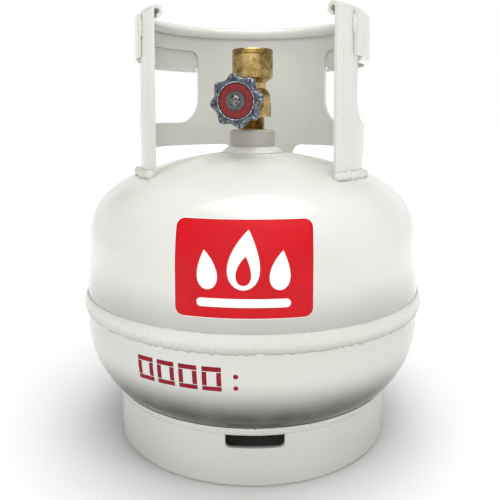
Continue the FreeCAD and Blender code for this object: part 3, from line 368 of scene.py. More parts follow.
@dataclass(frozen=True)
class CastPaint:
    """Thin blue-grey paint over a rough casting, rubbed bright where the hand goes."""

    name: str = "cast_wheel_paint"
    base: Colour = (0.045, 0.066, 0.088)
    deep: Colour = (0.012, 0.018, 0.026)
    patch_size: float = 3.6 * MM
    rubbed: Colour = (0.50, 0.54, 0.58)
    rub_size: float = 1.7 * MM
    rub_edge: tuple[float, float] = (0.515, 0.56)
    gloss: tuple[float, float] = (0.22, 0.46)
    gloss_size: float = 2.0 * MM
    grain_size: float = 1.1 * MM
    grain_depth: float = 0.16 * MM

    def make(self) -> Material:
        """Build the material and return it."""
        shader = Shader(self.name)
        patches = shader.span(shader.noise(self.patch_size, 5.0, 0.65), 0.38, 0.62)
        tone = shader.blend(patches, self.base, self.deep)
        shader.feed("Base Color", shader.blend(self._edges(shader), tone, self.rubbed))
        shader.feed("Roughness", shader.span(shader.noise(self.gloss_size, 4.0), 0.3, 0.7, *self.gloss))
        shader.set(Metallic=0.45, Coat_Weight=0.25, Coat_Roughness=0.15)
        shader.bump((shader.noise(self.grain_size, 4.0), self.grain_depth, 0.7))
        return shader.material

    def _edges(self, shader: Shader) -> NodeSocket:
        """Mask of the worn edges, broken up by noise.

        Args:
            shader: the finish's shader.

        Returns:
            The mask, near 1 on a worn edge.
        """
        ridge = shader.span(shader.add("ShaderNodeNewGeometry").outputs["Pointiness"], *self.rub_edge)
        broken = shader.span(shader.noise(self.rub_size, 3.0), 0.4, 0.6, 0.15, 0.85)
        return shader.math("MULTIPLY", ridge, broken)


@dataclass(frozen=True)
class PlainFinish:
    """A finish with one colour that varies a little, for small or hidden pieces and prints."""

    name: str
    base: Colour
    shade: Colour
    gloss: tuple[float, float]
    metallic: float = 0.0
    shine: float = 0.5
    patch_size: float = 6.0 * MM
    grain_size: float = 0.8 * MM
    grain_depth: float = 0.03 * MM

    def make(self) -> Material:
        """Build the material and return it."""
        shader = Shader(self.name)
        patches = shader.span(shader.noise(self.patch_size, 4.0, 0.6), 0.35, 0.65)
        shader.feed("Base Color", shader.blend(patches, self.base, self.shade))
        shader.feed("Roughness", shader.span(shader.noise(self.patch_size / 2.0, 3.0), 0.3, 0.7, *self.gloss))
        shader.set(Metallic=self.metallic, Specular_IOR_Level=self.shine)
        shader.bump((shader.noise(self.grain_size, 3.0), self.grain_depth, 0.5))
        return shader.material


def made(recipe: GlossEnamel | AgedBrass | CastPaint | PlainFinish) -> Material:
    """Dataclass field that holds the material made from a recipe.

    Args:
        recipe: the finish.

    Returns:
        The field.
    """
    return field(default_factory=recipe.make)


@dataclass
class Finishes:
    """All the finishes of the cylinder, each built once."""

    enamel: Material = made(GlossEnamel())
    # Painted shade: a darker copy of the white enamel, used on the valve boss.
    dull: Material = made(GlossEnamel(
        "shaded_enamel", light=(0.46, 0.45, 0.40), warm=(0.40, 0.385, 0.33), gloss=(0.24, 0.38)))
    # Painted shadow on the upper head, darkest just above the girth bead and fading out 30 mm higher.
    top: Material = made(GlossEnamel("top_enamel", painted_shade=0.36, painted_shade_span=(108.0 * MM, 138.0 * MM)))
    # Painted shade: the lower head goes near black at 49 mm and below, fading out by 80 mm, in place of the
    # shade under the tank.
    underside: Material = made(GlossEnamel("underside_enamel", painted_shade=1.0))
    weld: Material = made(GlossEnamel(
        "weld_enamel", coarse_size=2.4 * MM, coarse_depth=0.55 * MM, gloss=(0.26, 0.40)))
    # Painted shade: the girth bead darkens towards its lower edge, from 103.5 mm down to 96.5 mm.
    seam: Material = made(GlossEnamel(
        "seam_enamel", coarse_size=2.4 * MM, coarse_depth=0.6 * MM, gloss=(0.26, 0.40), painted_shade=0.42,
        painted_shade_span=(96.5 * MM, 103.5 * MM), painted_shade_colour=(0.20, 0.18, 0.14)))
    forged_brass: Material = made(AgedBrass("forged_brass"))
    nut_brass: Material = made(AgedBrass("nut_brass", grain_depth=0.04 * MM, gloss=(0.2, 0.4)))
    wheel: Material = made(CastPaint())
    disc: Material = made(PlainFinish(
        "disc_red", (0.21, 0.014, 0.013), (0.13, 0.010, 0.010), (0.42, 0.60), shine=0.3,
        patch_size=2.2 * MM, grain_size=0.5 * MM, grain_depth=0.05 * MM))
    steel: Material = made(PlainFinish(
        "plated_steel", (0.26, 0.25, 0.235), (0.07, 0.066, 0.062), (0.14, 0.30), metallic=1.0,
        patch_size=2.0 * MM, grain_size=0.4 * MM))
    dark_steel: Material = made(PlainFinish(
        "dull_zinc", (0.11, 0.125, 0.125), (0.05, 0.055, 0.055), (0.3, 0.55), metallic=0.7,
        patch_size=2.4 * MM, grain_size=0.5 * MM))
    rubber: Material = made(PlainFinish(
        "seal_rubber", (0.025, 0.025, 0.027), (0.04, 0.04, 0.042), (0.5, 0.75)))
    plastic: Material = made(PlainFinish(
        "washer_plastic", (0.78, 0.78, 0.74), (0.70, 0.69, 0.64), (0.35, 0.5)))
    label_red: Material = made(PlainFinish(
        "label_red", (0.54, 0.004, 0.010), (0.50, 0.004, 0.009), (0.42, 0.52), shine=0.16,
        patch_size=30.0 * MM, grain_size=1.2 * MM, grain_depth=0.012 * MM))
    label_white: Material = made(PlainFinish(
        "label_white", (0.90, 0.90, 0.89), (0.87, 0.87, 0.85), (0.42, 0.52), shine=0.2,
        patch_size=30.0 * MM, grain_size=1.2 * MM, grain_depth=0.012 * MM))
    ink: Material = made(PlainFinish(
        "stencil_ink", (0.30, 0.004, 0.016), (0.19, 0.004, 0.013), (0.5, 0.65), shine=0.2,
        patch_size=3.0 * MM, grain_size=0.6 * MM))


# ---------------------------------------------------------------- mesh building


def add_piece(name: str, build: BMesh, finish: Material, body: Body) -> Object:
    """Turn a bmesh into a smooth piece that rides on a body.

    Args:
        name: name of the piece.
        build: the mesh, freed here.
        finish: its material.
        body: the body that it rides on.

    Returns:
        The new object.
    """
    bmesh.ops.recalc_face_normals(build, faces=build.faces)
    mesh = bpy.data.meshes.new(name)
    build.to_mesh(mesh)
    build.free()
    mesh.polygons.foreach_set("use_smooth", [True] * len(mesh.polygons))
    mesh.materials.append(finish)
    piece = bpy.data.objects.new(name, mesh)
    bpy.context.scene.collection.objects.link(piece)
    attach(piece, body.value)
    log.info("%s: %d faces", name, len(mesh.polygons))
    return piece


def skin(build: BMesh, rings: Sequence[Sequence[Vector]], closed: bool) -> None:
    """Skin rings of points with quads.

    Args:
        build: the mesh to add to.
        rings: rings of points, all of one length, each a closed loop.
        closed: whether the last ring joins the first; if not, the two end rings are filled.
    """
    loops = [[build.verts.new(point) for point in ring] for ring in rings]
    pairs = list(zip(loops, loops[1:]))
    if closed:
        pairs.append((loops[-1], loops[0]))
    for first, second in pairs:
        for index in range(len(first)):
            after = (index + 1) % len(first)
            build.faces.new((first[index], first[after], second[after], second[index]))
    if not closed:
        build.faces.new(loops[0][::-1])
        build.faces.new(loops[-1])


def towards(turn: float) -> Vector:
    """Level direction at an angle from +X, in radians."""
    return Vector((math.cos(turn), math.sin(turn), 0.0))


def round_axis(section: Section, start: float, sweep: float, along: int, around: int) -> list[list[Vector]]:
    """Rings of points of a section swept round the tank's axis.

    Args:
        section: radius and height at a place round the section, 0 to 1, and a bearing in degrees.
        start: bearing of the first ring, in degrees from +X.
        sweep: angle of the sweep.
        along: number of steps along the sweep.
        around: number of points round the section.

    Returns:
        The rings.
    """
    count = along if sweep == FULL_TURN else along + 1
    rings = []
    for step in range(count):
        bearing = start + sweep * step / along
        out = towards(math.radians(bearing))
        ring = []
        for index in range(around):
            radius, height = section(index / around, bearing)
            ring.append(out * radius + UP * height)
        rings.append(ring)
    return rings


def oval(centre: Vector, first: Vector, second: Vector, count: int) -> list[Vector]:
    """Points of an oval.

    Args:
        centre: its centre.
        first: half axis to the first point.
        second: half axis to a quarter turn on.
        count: number of points.

    Returns:
        The points, in order.
    """
    turns = [2.0 * math.pi * index / count for index in range(count)]
    return [centre + first * math.cos(turn) + second * math.sin(turn) for turn in turns]


def ripple(bearing: float, across: float, pitch: float, seed: float) -> float:
    """Smooth noise that runs round the tank without a seam.

    Args:
        bearing: angle round the tank, in degrees.
        across: a second coordinate, in pitches.
        pitch: features per radian.
        seed: shifts the pattern.

    Returns:
        A value from about -1 to 1.
    """
    turn = math.radians(bearing)
    return noise.noise(Vector((pitch * math.cos(turn) + seed, pitch * math.sin(turn), across)))


# ---------------------------------------------------------------- heads and welds


def dress_node(name: str, finish: Material) -> None:
    """Put a finish on every material slot of a CAD node.

    Args:
        name: name of the node.
        finish: the material.
    """
    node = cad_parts[name]
    if not node.material_slots:
        node.data.materials.append(finish)
    for slot in node.material_slots:
        slot.material = finish
    log.info("%s: %s", name, finish.name)


@dataclass
class PressedHeads:
    """The two pressed heads that make the tank, and the shape of their outer face."""

    finishes: Finishes
    upper_end: float = 146.0 * MM
    upper_knuckle: float = 49.0 * MM
    lower_end: float = 89.0 * MM
    lower_knuckle: float = 66.0 * MM
    wall: float = field(default_factory=lambda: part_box("upper_shell")[1][0])

    def dress(self) -> None:
        """Give both heads their enamel."""
        # Both enamels carry painted shade: a band above the girth bead on the upper head, and the low part of
        # the lower head.
        dress_node("upper_shell", self.finishes.top)
        dress_node("lower_shell", self.finishes.underside)

    def radius(self, height: float) -> float:
        """Outside radius of the tank.

        Args:
            height: height on the straight sides or on a knuckle.

        Returns:
            The radius there.
        """
        for knuckle, past in ((self.upper_knuckle, height - self.upper_end),
                              (self.lower_knuckle, self.lower_end - height)):
            if past > 0.0:
                return self.wall - knuckle + math.sqrt(knuckle ** 2 - past ** 2)
        return self.wall


@dataclass
class GirthSeam:
    """The weld round the seam: a full bead with a ragged, rippled lower edge."""

    heads: PressedHeads
    steps: int = 1500
    around: int = 18
    proud: float = 3.0 * MM
    fullness: float = 0.6
    toe: float = 0.15 * MM
    bury: float = 0.7 * MM
    front_share: float = 0.8
    back_share: float = 0.8
    ragged: float = 1.3 * MM
    ragged_pitch: float = 42.0
    wander: float = 0.35 * MM
    wander_pitch: float = 5.0
    scale_depth: float = 0.85 * MM
    scale_pitch: float = 75.0
    scale_lag: float = 2.6
    scale_least: float = 0.10

    def build(self) -> None:
        """Make the bead in place of the plain one."""
        low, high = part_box("girth_weld")
        half = (high[2] - low[2]) / 2.0
        seam = (high[2] + low[2]) / 2.0

        def section(place: float, bearing: float) -> tuple[float, float]:
            """Shape of the bead's section.

            Args:
                place: place round the section, 0 to 1.
                bearing: bearing in degrees.

            Returns:
                Radius and height there.
            """
            if place >= self.front_share:
                back = (place - self.front_share) / (1.0 - self.front_share)
                return self.heads.wall - self.bury, seam - half * self.back_share * (1.0 - 2.0 * back)
            down = place / self.front_share
            swell = math.sin(math.pi * down)
            edge = self.ragged * ripple(bearing, 0.0, self.ragged_pitch, seed=3.0) * down ** 3
            wander = self.wander * ripple(bearing, 0.0, self.wander_pitch, seed=9.0)
            scales = ripple(bearing + self.scale_lag * down, 2.0 * down, self.scale_pitch, seed=1.0)
            depth = self.scale_depth * (self.scale_least + (1.0 - self.scale_least) * down ** 1.5)
            rough = depth * scales * swell
            radius = self.heads.wall - self.toe + self.proud * swell ** self.fullness + rough
            return radius, seam + half * (1.0 - 2.0 * down) + edge + wander

        build = bmesh.new()
        skin(build, round_axis(section, 0.0, FULL_TURN, self.steps, self.around), True)
        # The seam enamel paints shade on the bead's lower half.
        piece = add_piece("girth_bead", build, self.heads.finishes.seam, Body.TANK)
        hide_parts("girth_weld")


@dataclass
class FilletBead:
    """A fillet weld round the tank's axis, its toes and its buried core given as radius and height."""

    name: str
    node: str
    low_toe: tuple[float, float]
    high_toe: tuple[float, float]
    core: tuple[float, float]
    bulge: float
    lump: float
    pitch: float
    steps: int
    around: int = 12
    face_share: float = 0.9
    fine_share: float = 0.6
    toe_share: float = 0.3

    def build(self, finishes: Finishes) -> None:
        """Make the bead in place of the plain one.

        Args:
            finishes: the finishes.
        """
        low, high, core = (Vector(point) for point in (self.low_toe, self.high_toe, self.core))
        run = high - low
        out = Vector((run.y, -run.x)).normalized()
        if out.dot(core - low) > 0.0:
            out = -out

        def section(place: float, bearing: float) -> tuple[float, float]:
            """Shape of the bead's section.

            Args:
                place: place round the section, 0 to 1.
                bearing: bearing in degrees.

            Returns:
                Radius and height there.
            """
            if place > self.face_share:
                return tuple(core)
            across = place / self.face_share
            swell = math.sin(math.pi * across)
            coarse = ripple(bearing, across, self.pitch, seed=2.0)
            fine = ripple(bearing + 1.5 * across, 2.0 * across, 3.0 * self.pitch, seed=5.0)
            lump = self.lump * (coarse + self.fine_share * fine) * (self.toe_share + swell)
            point = low + run * across + out * (self.bulge * swell + lump)
            return point.x, point.y

        build = bmesh.new()
        skin(build, round_axis(section, 0.0, FULL_TURN, self.steps, self.around), True)
        piece = add_piece(self.name, build, finishes.weld, Body.TANK)
        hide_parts(self.node)


@dataclass
class CollarBeads:
    """Lumpy hand-laid beads at the collar's three feet and at the grips' ends."""

    finishes: Finishes
    wire: float = 3.3 * MM
    spread: float = 1.1
    end_taper: float = 1.5
    path_radius: float = 86.3 * MM
    path_height: float = 196.1 * MM
    front_arc: tuple[float, float] = (46.0, 77.5)
    back_half: float = 20.2
    steps_per_degree: int = 5
    foot_sides: int = 14
    lump: float = 0.42
    lump_pitch: float = 26.0
    fine_lump: float = 0.16
    fine_pitch: float = 70.0
    grip_wire: float = 1.5 * MM
    grip_ends: tuple[float, float] = (60.0, 142.0)
    grip_span: tuple[float, float] = (293.0 * MM, 306.8 * MM)
    grip_proud: float = 0.1 * MM
    grip_lump: float = 0.3
    grip_grain: float = 1.6 * MM
    grip_steps: int = 28
    grip_sides: int = 12
    grip_end_share: float = 0.15

    def build(self) -> None:
        """Make both groups of beads."""
        near, far = self.front_arc
        build = bmesh.new()
        for start, sweep in ((near - 90.0, far - near), (-90.0 - far, far - near),
                             (90.0 - self.back_half, 2.0 * self.back_half)):
            self._foot(build, start, sweep)
        piece = add_piece("collar_foot_beads", build, self.finishes.weld, Body.TANK)
        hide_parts("collar_welds")
        build = bmesh.new()
        for side in (-1.0, 1.0):
            for end in self.grip_ends:
                self._upright(build, -90.0 + side * end)
        piece = add_piece("grip_end_beads", build, self.finishes.weld, Body.TANK)
        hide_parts("grip_welds")

    def _foot(self, build: BMesh, start: float, sweep: float) -> None:
        """Add one bead along a foot of the collar.

        Args:
            build: the mesh to add to.
            start: first bearing, in degrees.
            sweep: angle that it covers, in degrees.
        """
        def section(place: float, bearing: float) -> tuple[float, float]:
            """Shape of the bead's section.

            Args:
                place: place round the section, 0 to 1.
                bearing: bearing in degrees.

            Returns:
                Radius and height there.
            """
            along = (bearing - start) / sweep
            end = max(0.0, 1.0 - min(along, 1.0 - along) * sweep / self.end_taper)
            turn = 2.0 * math.pi * place
            lump = 1.0 + self.lump * ripple(bearing, math.cos(turn), self.lump_pitch, seed=4.0)
            lump += self.fine_lump * ripple(bearing, 2.0 * math.sin(turn), self.fine_pitch, seed=7.0)
            reach = self.wire * lump * math.sqrt(1.0 - 0.9 * end ** 2)
            return (self.path_radius + reach * math.cos(turn) * self.spread,
                    self.path_height + reach * math.sin(turn))

        steps = int(sweep * self.steps_per_degree)
        skin(build, round_axis(section, start, sweep, steps, self.foot_sides), False)

    def _upright(self, build: BMesh, bearing: float) -> None:
        """Add one short upright bead at the end of a grip.

        Args:
            build: the mesh to add to.
            bearing: its bearing, in degrees.
        """
        low, high = self.grip_span
        centre = towards(math.radians(bearing)) * (self.path_radius + self.grip_proud)
        rings = []
        for step in range(self.grip_steps + 1):
            along = step / self.grip_steps
            height = low + (high - low) * along
            swell = math.sin(math.pi * along) ** 0.4 if 0 < step < self.grip_steps else self.grip_end_share
            ring = []
            for index in range(self.grip_sides):
                side = 2.0 * math.pi * index / self.grip_sides
                grain = noise.noise(Vector((math.cos(side), bearing, height / self.grip_grain)))
                reach = self.grip_wire * swell * (1.0 + self.grip_lump * grain)
                ring.append(centre + towards(side) * reach + UP * height)
            rings.append(ring)
        skin(build, rings, False)


# ---------------------------------------------------------------- prints on the tank


@dataclass
class Film:
    """Something thin that lies on the tank's side, drawn flat and laid on it."""

    heads: PressedHeads
    bearing: float
    base: float
    lift: float

    def place(self, across: float, height: float, lift: float) -> Vector:
        """A point on the tank's side.

        Args:
            across: distance to the right of the film's middle, seen from outside.
            height: height above the base.
            lift: distance above the paint.

        Returns:
            The point.
        """
        radius = self.heads.radius(height) + lift
        turn = math.radians(self.bearing)
        out = math.sqrt(radius ** 2 - across ** 2)
        return Vector((out * math.cos(turn) - across * math.sin(turn),
                       out * math.sin(turn) + across * math.cos(turn), height))

    def lay(self, build: BMesh, rows: Sequence[Row], columns: int) -> None:
        """Lay one closed patch of film.

        Args:
            build: the mesh to add to.
            rows: height, left end and right end of each row, from the bottom up.
            columns: quads along a row.
        """
        sheets = []
        for lift in (self.base, self.lift):
            grid = []
            for height, left, right in rows:
                steps = [left + (right - left) * column / columns for column in range(columns + 1)]
                grid.append([build.verts.new(self.place(across, height, lift)) for across in steps])
            sheets.append(grid)
        bottom, top = sheets
        for low in range(len(rows) - 1):
            high = low + 1
            for column in range(columns):
                after = column + 1
                build.faces.new((top[low][column], top[low][after], top[high][after], top[high][column]))
                build.faces.new((bottom[low][column], bottom[high][column],
                                 bottom[high][after], bottom[low][after]))
            for end in (0, columns):
                build.faces.new((bottom[low][end], top[low][end], top[high][end], bottom[high][end]))
        for under, over in ((bottom[0], top[0]), (bottom[-1], top[-1])):
            for column in range(columns):
                build.faces.new((under[column], under[column + 1], over[column + 1], over[column]))


def rounded_rows(low: float, high: float, half_width: float, corner: float) -> list[Row]:
    """Rows of a rectangle with round corners.

    Args:
        low: height of its lower edge.
        high: height of its upper edge.
        half_width: half of its width.
        corner: radius of its corners.

    Returns:
        Height, left end and right end of each row.
    """
    corner_steps, straight_steps = 6, 10
    lower, upper = [], []
    for step in range(corner_steps + 1):
        turn = math.pi / 2.0 * step / corner_steps
        reach = half_width - corner + corner * math.sin(turn)
        rise = corner - corner * math.cos(turn)
        lower.append((low + rise, -reach, reach))
        upper.append((high - rise, -reach, reach))
    straight = high - low - 2.0 * corner
    sides = [(low + corner + straight * step / straight_steps, -half_width, half_width)
             for step in range(1, straight_steps)]
    return lower + sides + upper[::-1]


@dataclass(frozen=True)
class Drop:
    """A plain printed drop that leans to one side at its tip.

    Its foot and its height are shares of the label's height.
    """

    foot: float
    tall: float
    half_width: float
    middle: float
    lean: float
    columns: int = 8
    steps: int = 30
    fullness: float = 1.08
    taper: float = 0.9
    least: float = 0.02 * MM

    def rows(self, low: float, label_tall: float) -> list[Row]:
        """Rows of the drop.

        Args:
            low: height of the label's lower edge.
            label_tall: height of the label.

        Returns:
            Height, left end and right end of each row.
        """
        rows = []
        for step in range(self.steps + 1):
            turn = math.pi * step / self.steps
            up = (1.0 - math.cos(turn)) / 2.0
            width = self.fullness * math.sin(turn) * math.cos(turn / 2.0) ** self.taper
            reach = self.half_width * width + self.least
            centre = self.middle + self.lean * up ** 3
            rows.append((low + (self.foot + self.tall * up) * label_tall, centre - reach, centre + reach))
        return rows


@dataclass
class PrintedLabel:
    """Red label with a thin white border, three plain drops and a plain bar."""

    heads: PressedHeads
    bearing: float = -86.0
    film: float = 0.25 * MM
    half_width: float = 41.7 * MM
    corner: float = 5.5 * MM
    border: float = 0.35 * MM
    print_rise: float = 0.05 * MM
    columns: int = 36
    drops: tuple[Drop, ...] = (
        Drop(0.30, 0.60, 11.5 * MM, 0.0, 3.0 * MM, columns=10),
        Drop(0.30, 0.40, 7.2 * MM, -21.5 * MM, -2.0 * MM),
        Drop(0.30, 0.40, 7.2 * MM, 21.5 * MM, 2.0 * MM),
    )
    core: Drop = Drop(0.345, 0.30, 5.4 * MM, 0.0, 1.4 * MM)
    bar_span: tuple[float, float] = (0.12, 0.21)
    bar_half_width: float = 28.0 * MM
    bar_corner: float = 2.4 * MM
    bar_columns: int = 30

    def build(self) -> None:
        """Lay the film, the red panel and the white print."""
        white, red = self.heads.finishes.label_white, self.heads.finishes.label_red
        low, high = (corner[2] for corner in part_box("label"))
        tall = high - low
        rim = self.border
        sheet = rounded_rows(low, high, self.half_width, self.corner)
        panel = rounded_rows(low + rim, high - rim, self.half_width - rim, self.corner - rim)
        foot, head = (low + share * tall for share in self.bar_span)
        bar = rounded_rows(foot, head, self.bar_half_width, self.bar_corner)
        drops = [(drop.rows(low, tall), drop.columns) for drop in self.drops]
        backing = self._layer("label_film", 0, white, (sheet, self.columns))
        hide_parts("label")
        self._layer("label_panel", 1, red, (panel, self.columns))
        self._layer("label_emblem", 2, white, *drops, (bar, self.bar_columns))
        self._layer("label_emblem_core", 3, red, (self.core.rows(low, tall), self.core.columns))

    def _layer(self, name: str, level: int, finish: Material,
               *patches: tuple[Sequence[Row], int]) -> Object:
        """Lay one layer of the label.

        Args:
            name: name of the piece.
            level: 0 for the film, 1 and up for the prints on it.
            finish: its material.
            patches: rows of each of its patches, and the quads along a row.

        Returns:
            The piece.
        """
        base = self.film + self.print_rise * (level - 1) if level else 0.0
        film = Film(self.heads, self.bearing, base, self.film + self.print_rise * level)
        build = bmesh.new()
        for rows, columns in patches:
            film.lay(build, rows, columns)
        return add_piece(name, build, finish, Body.TANK)


@dataclass
class DateStencil:
    """Plain stencilled boxes and two dots, where a date is written."""

    heads: PressedHeads
    first_bearing: float = -115.9
    step_bearing: float = 7.0
    boxes: int = 4
    half_width: float = 6.0 * MM
    low: float = 73.0 * MM
    high: float = 88.6 * MM
    stroke: float = 2.9 * MM
    bridge: float = 0.55 * MM
    wave: float = 0.25 * MM
    bar_steps: int = 6
    dot: float = 1.5 * MM
    dot_corner: float = 1.35 * MM
    dot_bearing: float = -88.1
    dot_heights: tuple[float, float] = (75.6 * MM, 83.2 * MM)
    ink: float = 0.08 * MM

    def build(self) -> None:
        """Paint the boxes and the dots."""
        build = bmesh.new()
        stroke, gap = self.stroke, self.bridge
        for number in range(self.boxes):
            film = Film(self.heads, self.first_bearing + number * self.step_bearing, 0.0, self.ink)
            for low in (self.low, self.high - stroke):
                film.lay(build, self._bar(low, low + stroke, -self.half_width, self.half_width), 6)
            inner = self.half_width - stroke
            for left, right in ((-self.half_width, -inner), (inner, self.half_width)):
                film.lay(build, self._bar(self.low + stroke + gap, self.high - stroke - gap, left, right), 3)
        film = Film(self.heads, self.dot_bearing, 0.0, self.ink)
        for height in self.dot_heights:
            film.lay(build, rounded_rows(height - self.dot, height + self.dot, self.dot, self.dot_corner), 6)
        add_piece("date_stencil", build, self.heads.finishes.ink, Body.TANK)

    def _bar(self, low: float, high: float, left: float, right: float) -> list[Row]:
        """Rows of one stroke with slightly wavy ends, as paint leaves under a stencil.

        Args:
            low: height of the stroke's lower edge.
            high: height of its upper edge.
            left: place of its left end.
            right: place of its right end.

        Returns:
            Height, left end and right end of each row.
        """
        rows = []
        for step in range(self.bar_steps + 1):
            height = low + (high - low) * step / self.bar_steps
            wave = self.wave * noise.noise(Vector((left / MM, height / MM, 3.0)))
            rows.append((height, left + wave, right + 0.8 * wave))
        return rows


@dataclass
class StampedMarks:
    """Rows of plain punched dots down the two posts of the collar."""

    finishes: Finishes
    bearings: tuple[float, float] = (-142.5, -38.0)
    post: float = 85.5 * MM
    low: float = 222.0 * MM
    high: float = 292.0 * MM
    count: int = 17
    dot: float = 1.3 * MM
    stretch: float = 1.25
    rise: float = 0.45 * MM
    bury: float = 0.1 * MM
    levels: int = 5
    sides: int = 12

    def build(self) -> None:
        """Raise the dots."""
        build = bmesh.new()
        for bearing in self.bearings:
            for number in range(self.count):
                self._dot(build, bearing, number)
        add_piece("post_punch_marks", build, self.finishes.weld, Body.TANK)

    def _dot(self, build: BMesh, bearing: float, number: int) -> None:
        """Raise one dot.

        Args:
            build: the mesh to add to.
            bearing: bearing of its row, in degrees.
            number: its place in the row, from the bottom.
        """
        out = towards(math.radians(bearing))
        side = UP.cross(out)
        height = self.low + (self.high - self.low) * number / (self.count - 1)
        size = self.dot * (0.85 + 0.35 * noise.noise(Vector((bearing, number, 0.5))))
        rings = []
        for level in range(self.levels):
            lift = math.pi / 2.0 * level / (self.levels - 0.4)
            reach = size * math.cos(lift)
            centre = out * (self.post + self.rise * math.sin(lift) - self.bury) + UP * height
            rings.append(oval(centre, side * reach * self.stretch, UP * reach, self.sides))
        skin(build, rings, False)


# ---------------------------------------------------------------- valve


@dataclass
class ValveFrame:
    """Axes of the valve: outwards along the spindle, to the right and up."""

    yaw: float = -8.5
    stem_height: float = 248.0 * MM

    def matrix(self) -> Matrix:
        """Matrix from wheel coordinates (right, up, outwards) to the tank's."""
        out = towards(math.radians(-90.0 + self.yaw))
        columns = Matrix((UP.cross(out), UP, out)).transposed().to_4x4()
        columns.translation = UP * self.stem_height
        return columns


@dataclass
class CastHandwheel:
    """Cast wheel with eight blunt lobes, a raised ring round its recess and a hub behind."""

    finishes: Finishes
    valve: ValveFrame
    lobes: int = 8
    phase: float = 8.0
    root: float = 16.8 * MM
    tip: float = 19.9 * MM
    lobe_bluntness: float = 1.25
    steps: int = 320
    middle: float = 41.0 * MM
    flute_depth: float = 0.55 * MM
    flute_width: float = 0.035
    cast_depth: float = 0.16 * MM
    coarse_grain: float = 2.3 * MM
    fine_grain: float = 1.0 * MM
    edge_grain: float = 0.006

    def build(self) -> None:
        """Make the wheel in place of the plain one."""
        profile = self._profile()
        frame_of_valve = self.valve.matrix()
        rings = []
        for step in range(self.steps):
            turn = math.radians(FULL_TURN * step / self.steps)
            around = towards(turn)
            lobe = 0.5 + 0.5 * math.cos(self.lobes * (turn - math.radians(self.phase)))
            edge = self.root + (self.tip - self.root) * lobe ** self.lobe_bluntness
            flute = self.flute_depth * math.exp(-((1.0 - lobe) / self.flute_width) ** 2)
            ring = []
            for share, fixed, out in profile:
                inwards = 1.0 if out > self.middle else -1.0
                place = around * (fixed + share * edge) + UP * (out - flute * share * inwards)
                grain = noise.noise(place / self.coarse_grain) + 0.5 * noise.noise(place / self.fine_grain)
                swell = 1.0 + self.edge_grain * grain * share
                rise = self.cast_depth * grain * (0.3 + share)
                ring.append(frame_of_valve @ Vector((place.x * swell, place.y * swell, place.z + rise)))
            rings.append(ring)
        build = bmesh.new()
        skin(build, rings, True)
        piece = add_piece("cast_wheel", build, self.finishes.wheel, Body.WHEEL)
        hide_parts("handwheel")

    def _profile(self) -> list[tuple[float, float, float]]:
        """Section of the wheel: share of the lobed edge, fixed radius and distance outwards."""
        points = [
            (0.0, 3.2, 33.5), (0.0, 5.8, 33.5), (0.0, 6.4, 34.0), (0.0, 6.6, 36.4), (0.0, 7.4, 37.6),
            (0.0, 10.0, 38.2), (0.5, 5.4, 38.4), (0.84, 0.6, 38.3), (0.93, 0.3, 38.6), (0.985, 0.0, 39.4),
            (1.0, 0.0, 40.8), (1.0, 0.0, 43.2), (0.985, 0.0, 44.6), (0.94, 0.0, 45.5), (0.86, 0.3, 45.9),
            (0.5, 5.9, 46.0), (0.2, 10.9, 45.8), (0.0, 13.9, 45.8), (0.0, 13.6, 46.25), (0.0, 13.1, 46.3),
            (0.0, 12.75, 45.9), (0.0, 12.6, 45.2), (0.0, 12.5, 44.4), (0.0, 8.0, 44.4), (0.0, 3.2, 44.4),
        ]
        return [(share, fixed * MM, out * MM) for share, fixed, out in points]


@dataclass
class OutletThread:
    """Thread ridge inside the outlet; its points are shares of the depth and of the half width."""

    finishes: Finishes
    radius: float = 10.95 * MM
    depth: float = 0.42 * MM
    pitch: float = 1.8 * MM
    half_share: float = 0.42
    low: float = 275.0 * MM
    high: float = 286.6 * MM
    per_turn: int = 60
    run_out: float = 0.125
    least: float = 0.05
    ridge: tuple[tuple[float, float], ...] = (
        (0.0, -1.0), (0.85, -0.25), (1.0, 0.0), (0.85, 0.25), (0.0, 1.0))

    def build(self) -> None:
        """Wind the ridge up the bore, left-handed."""
        total = int((self.high - self.low) / self.pitch * self.per_turn)
        half = self.pitch * self.half_share
        rings = []
        for step in range(total + 1):
            out = towards(-2.0 * math.pi * step / self.per_turn)
            height = self.low + self.pitch * step / self.per_turn
            from_end = min(step, total - step) / self.per_turn
            depth = self.depth * min(1.0, from_end / self.run_out + self.least)
            rings.append([out * (self.radius - share * depth) + UP * (height + rise * half)
                          for share, rise in self.ridge])
        build = bmesh.new()
        skin(build, rings, False)
        add_piece("outlet_thread", build, self.finishes.nut_brass, Body.TANK)


@dataclass
class ReliefSpring:
    """Coil spring behind the relief poppet, which shortens it as it lifts; here it is built at its rest
    length only.
    """

    finishes: Finishes
    valve: ValveFrame
    radius: float = 3.6 * MM
    wire: float = 0.5 * MM
    turns: float = 4.0
    start: float = 9.6 * MM
    end: float = 13.6 * MM
    seat: float = 14.15 * MM
    lift: float = 2.0 * MM
    steps_per_turn: int = 40
    wire_sides: int = 8

    def build(self) -> None:
        """Wind the spring in place of the plain one."""
        frame_of_valve = self.valve.matrix()
        steps = int(self.turns * self.steps_per_turn)
        rings = []
        for step in range(steps + 1):
            around = towards(2.0 * math.pi * self.turns * step / steps)
            centre = around * self.radius - UP * (self.start + (self.end - self.start) * step / steps)
            ring = oval(centre, around * self.wire, -UP * self.wire, self.wire_sides)
            rings.append([frame_of_valve @ point for point in ring])
        build = bmesh.new()
        skin(build, rings, False)
        piece = add_piece("relief_coil", build, self.finishes.steel, Body.TANK)
        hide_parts("relief_spring")
        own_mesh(piece)


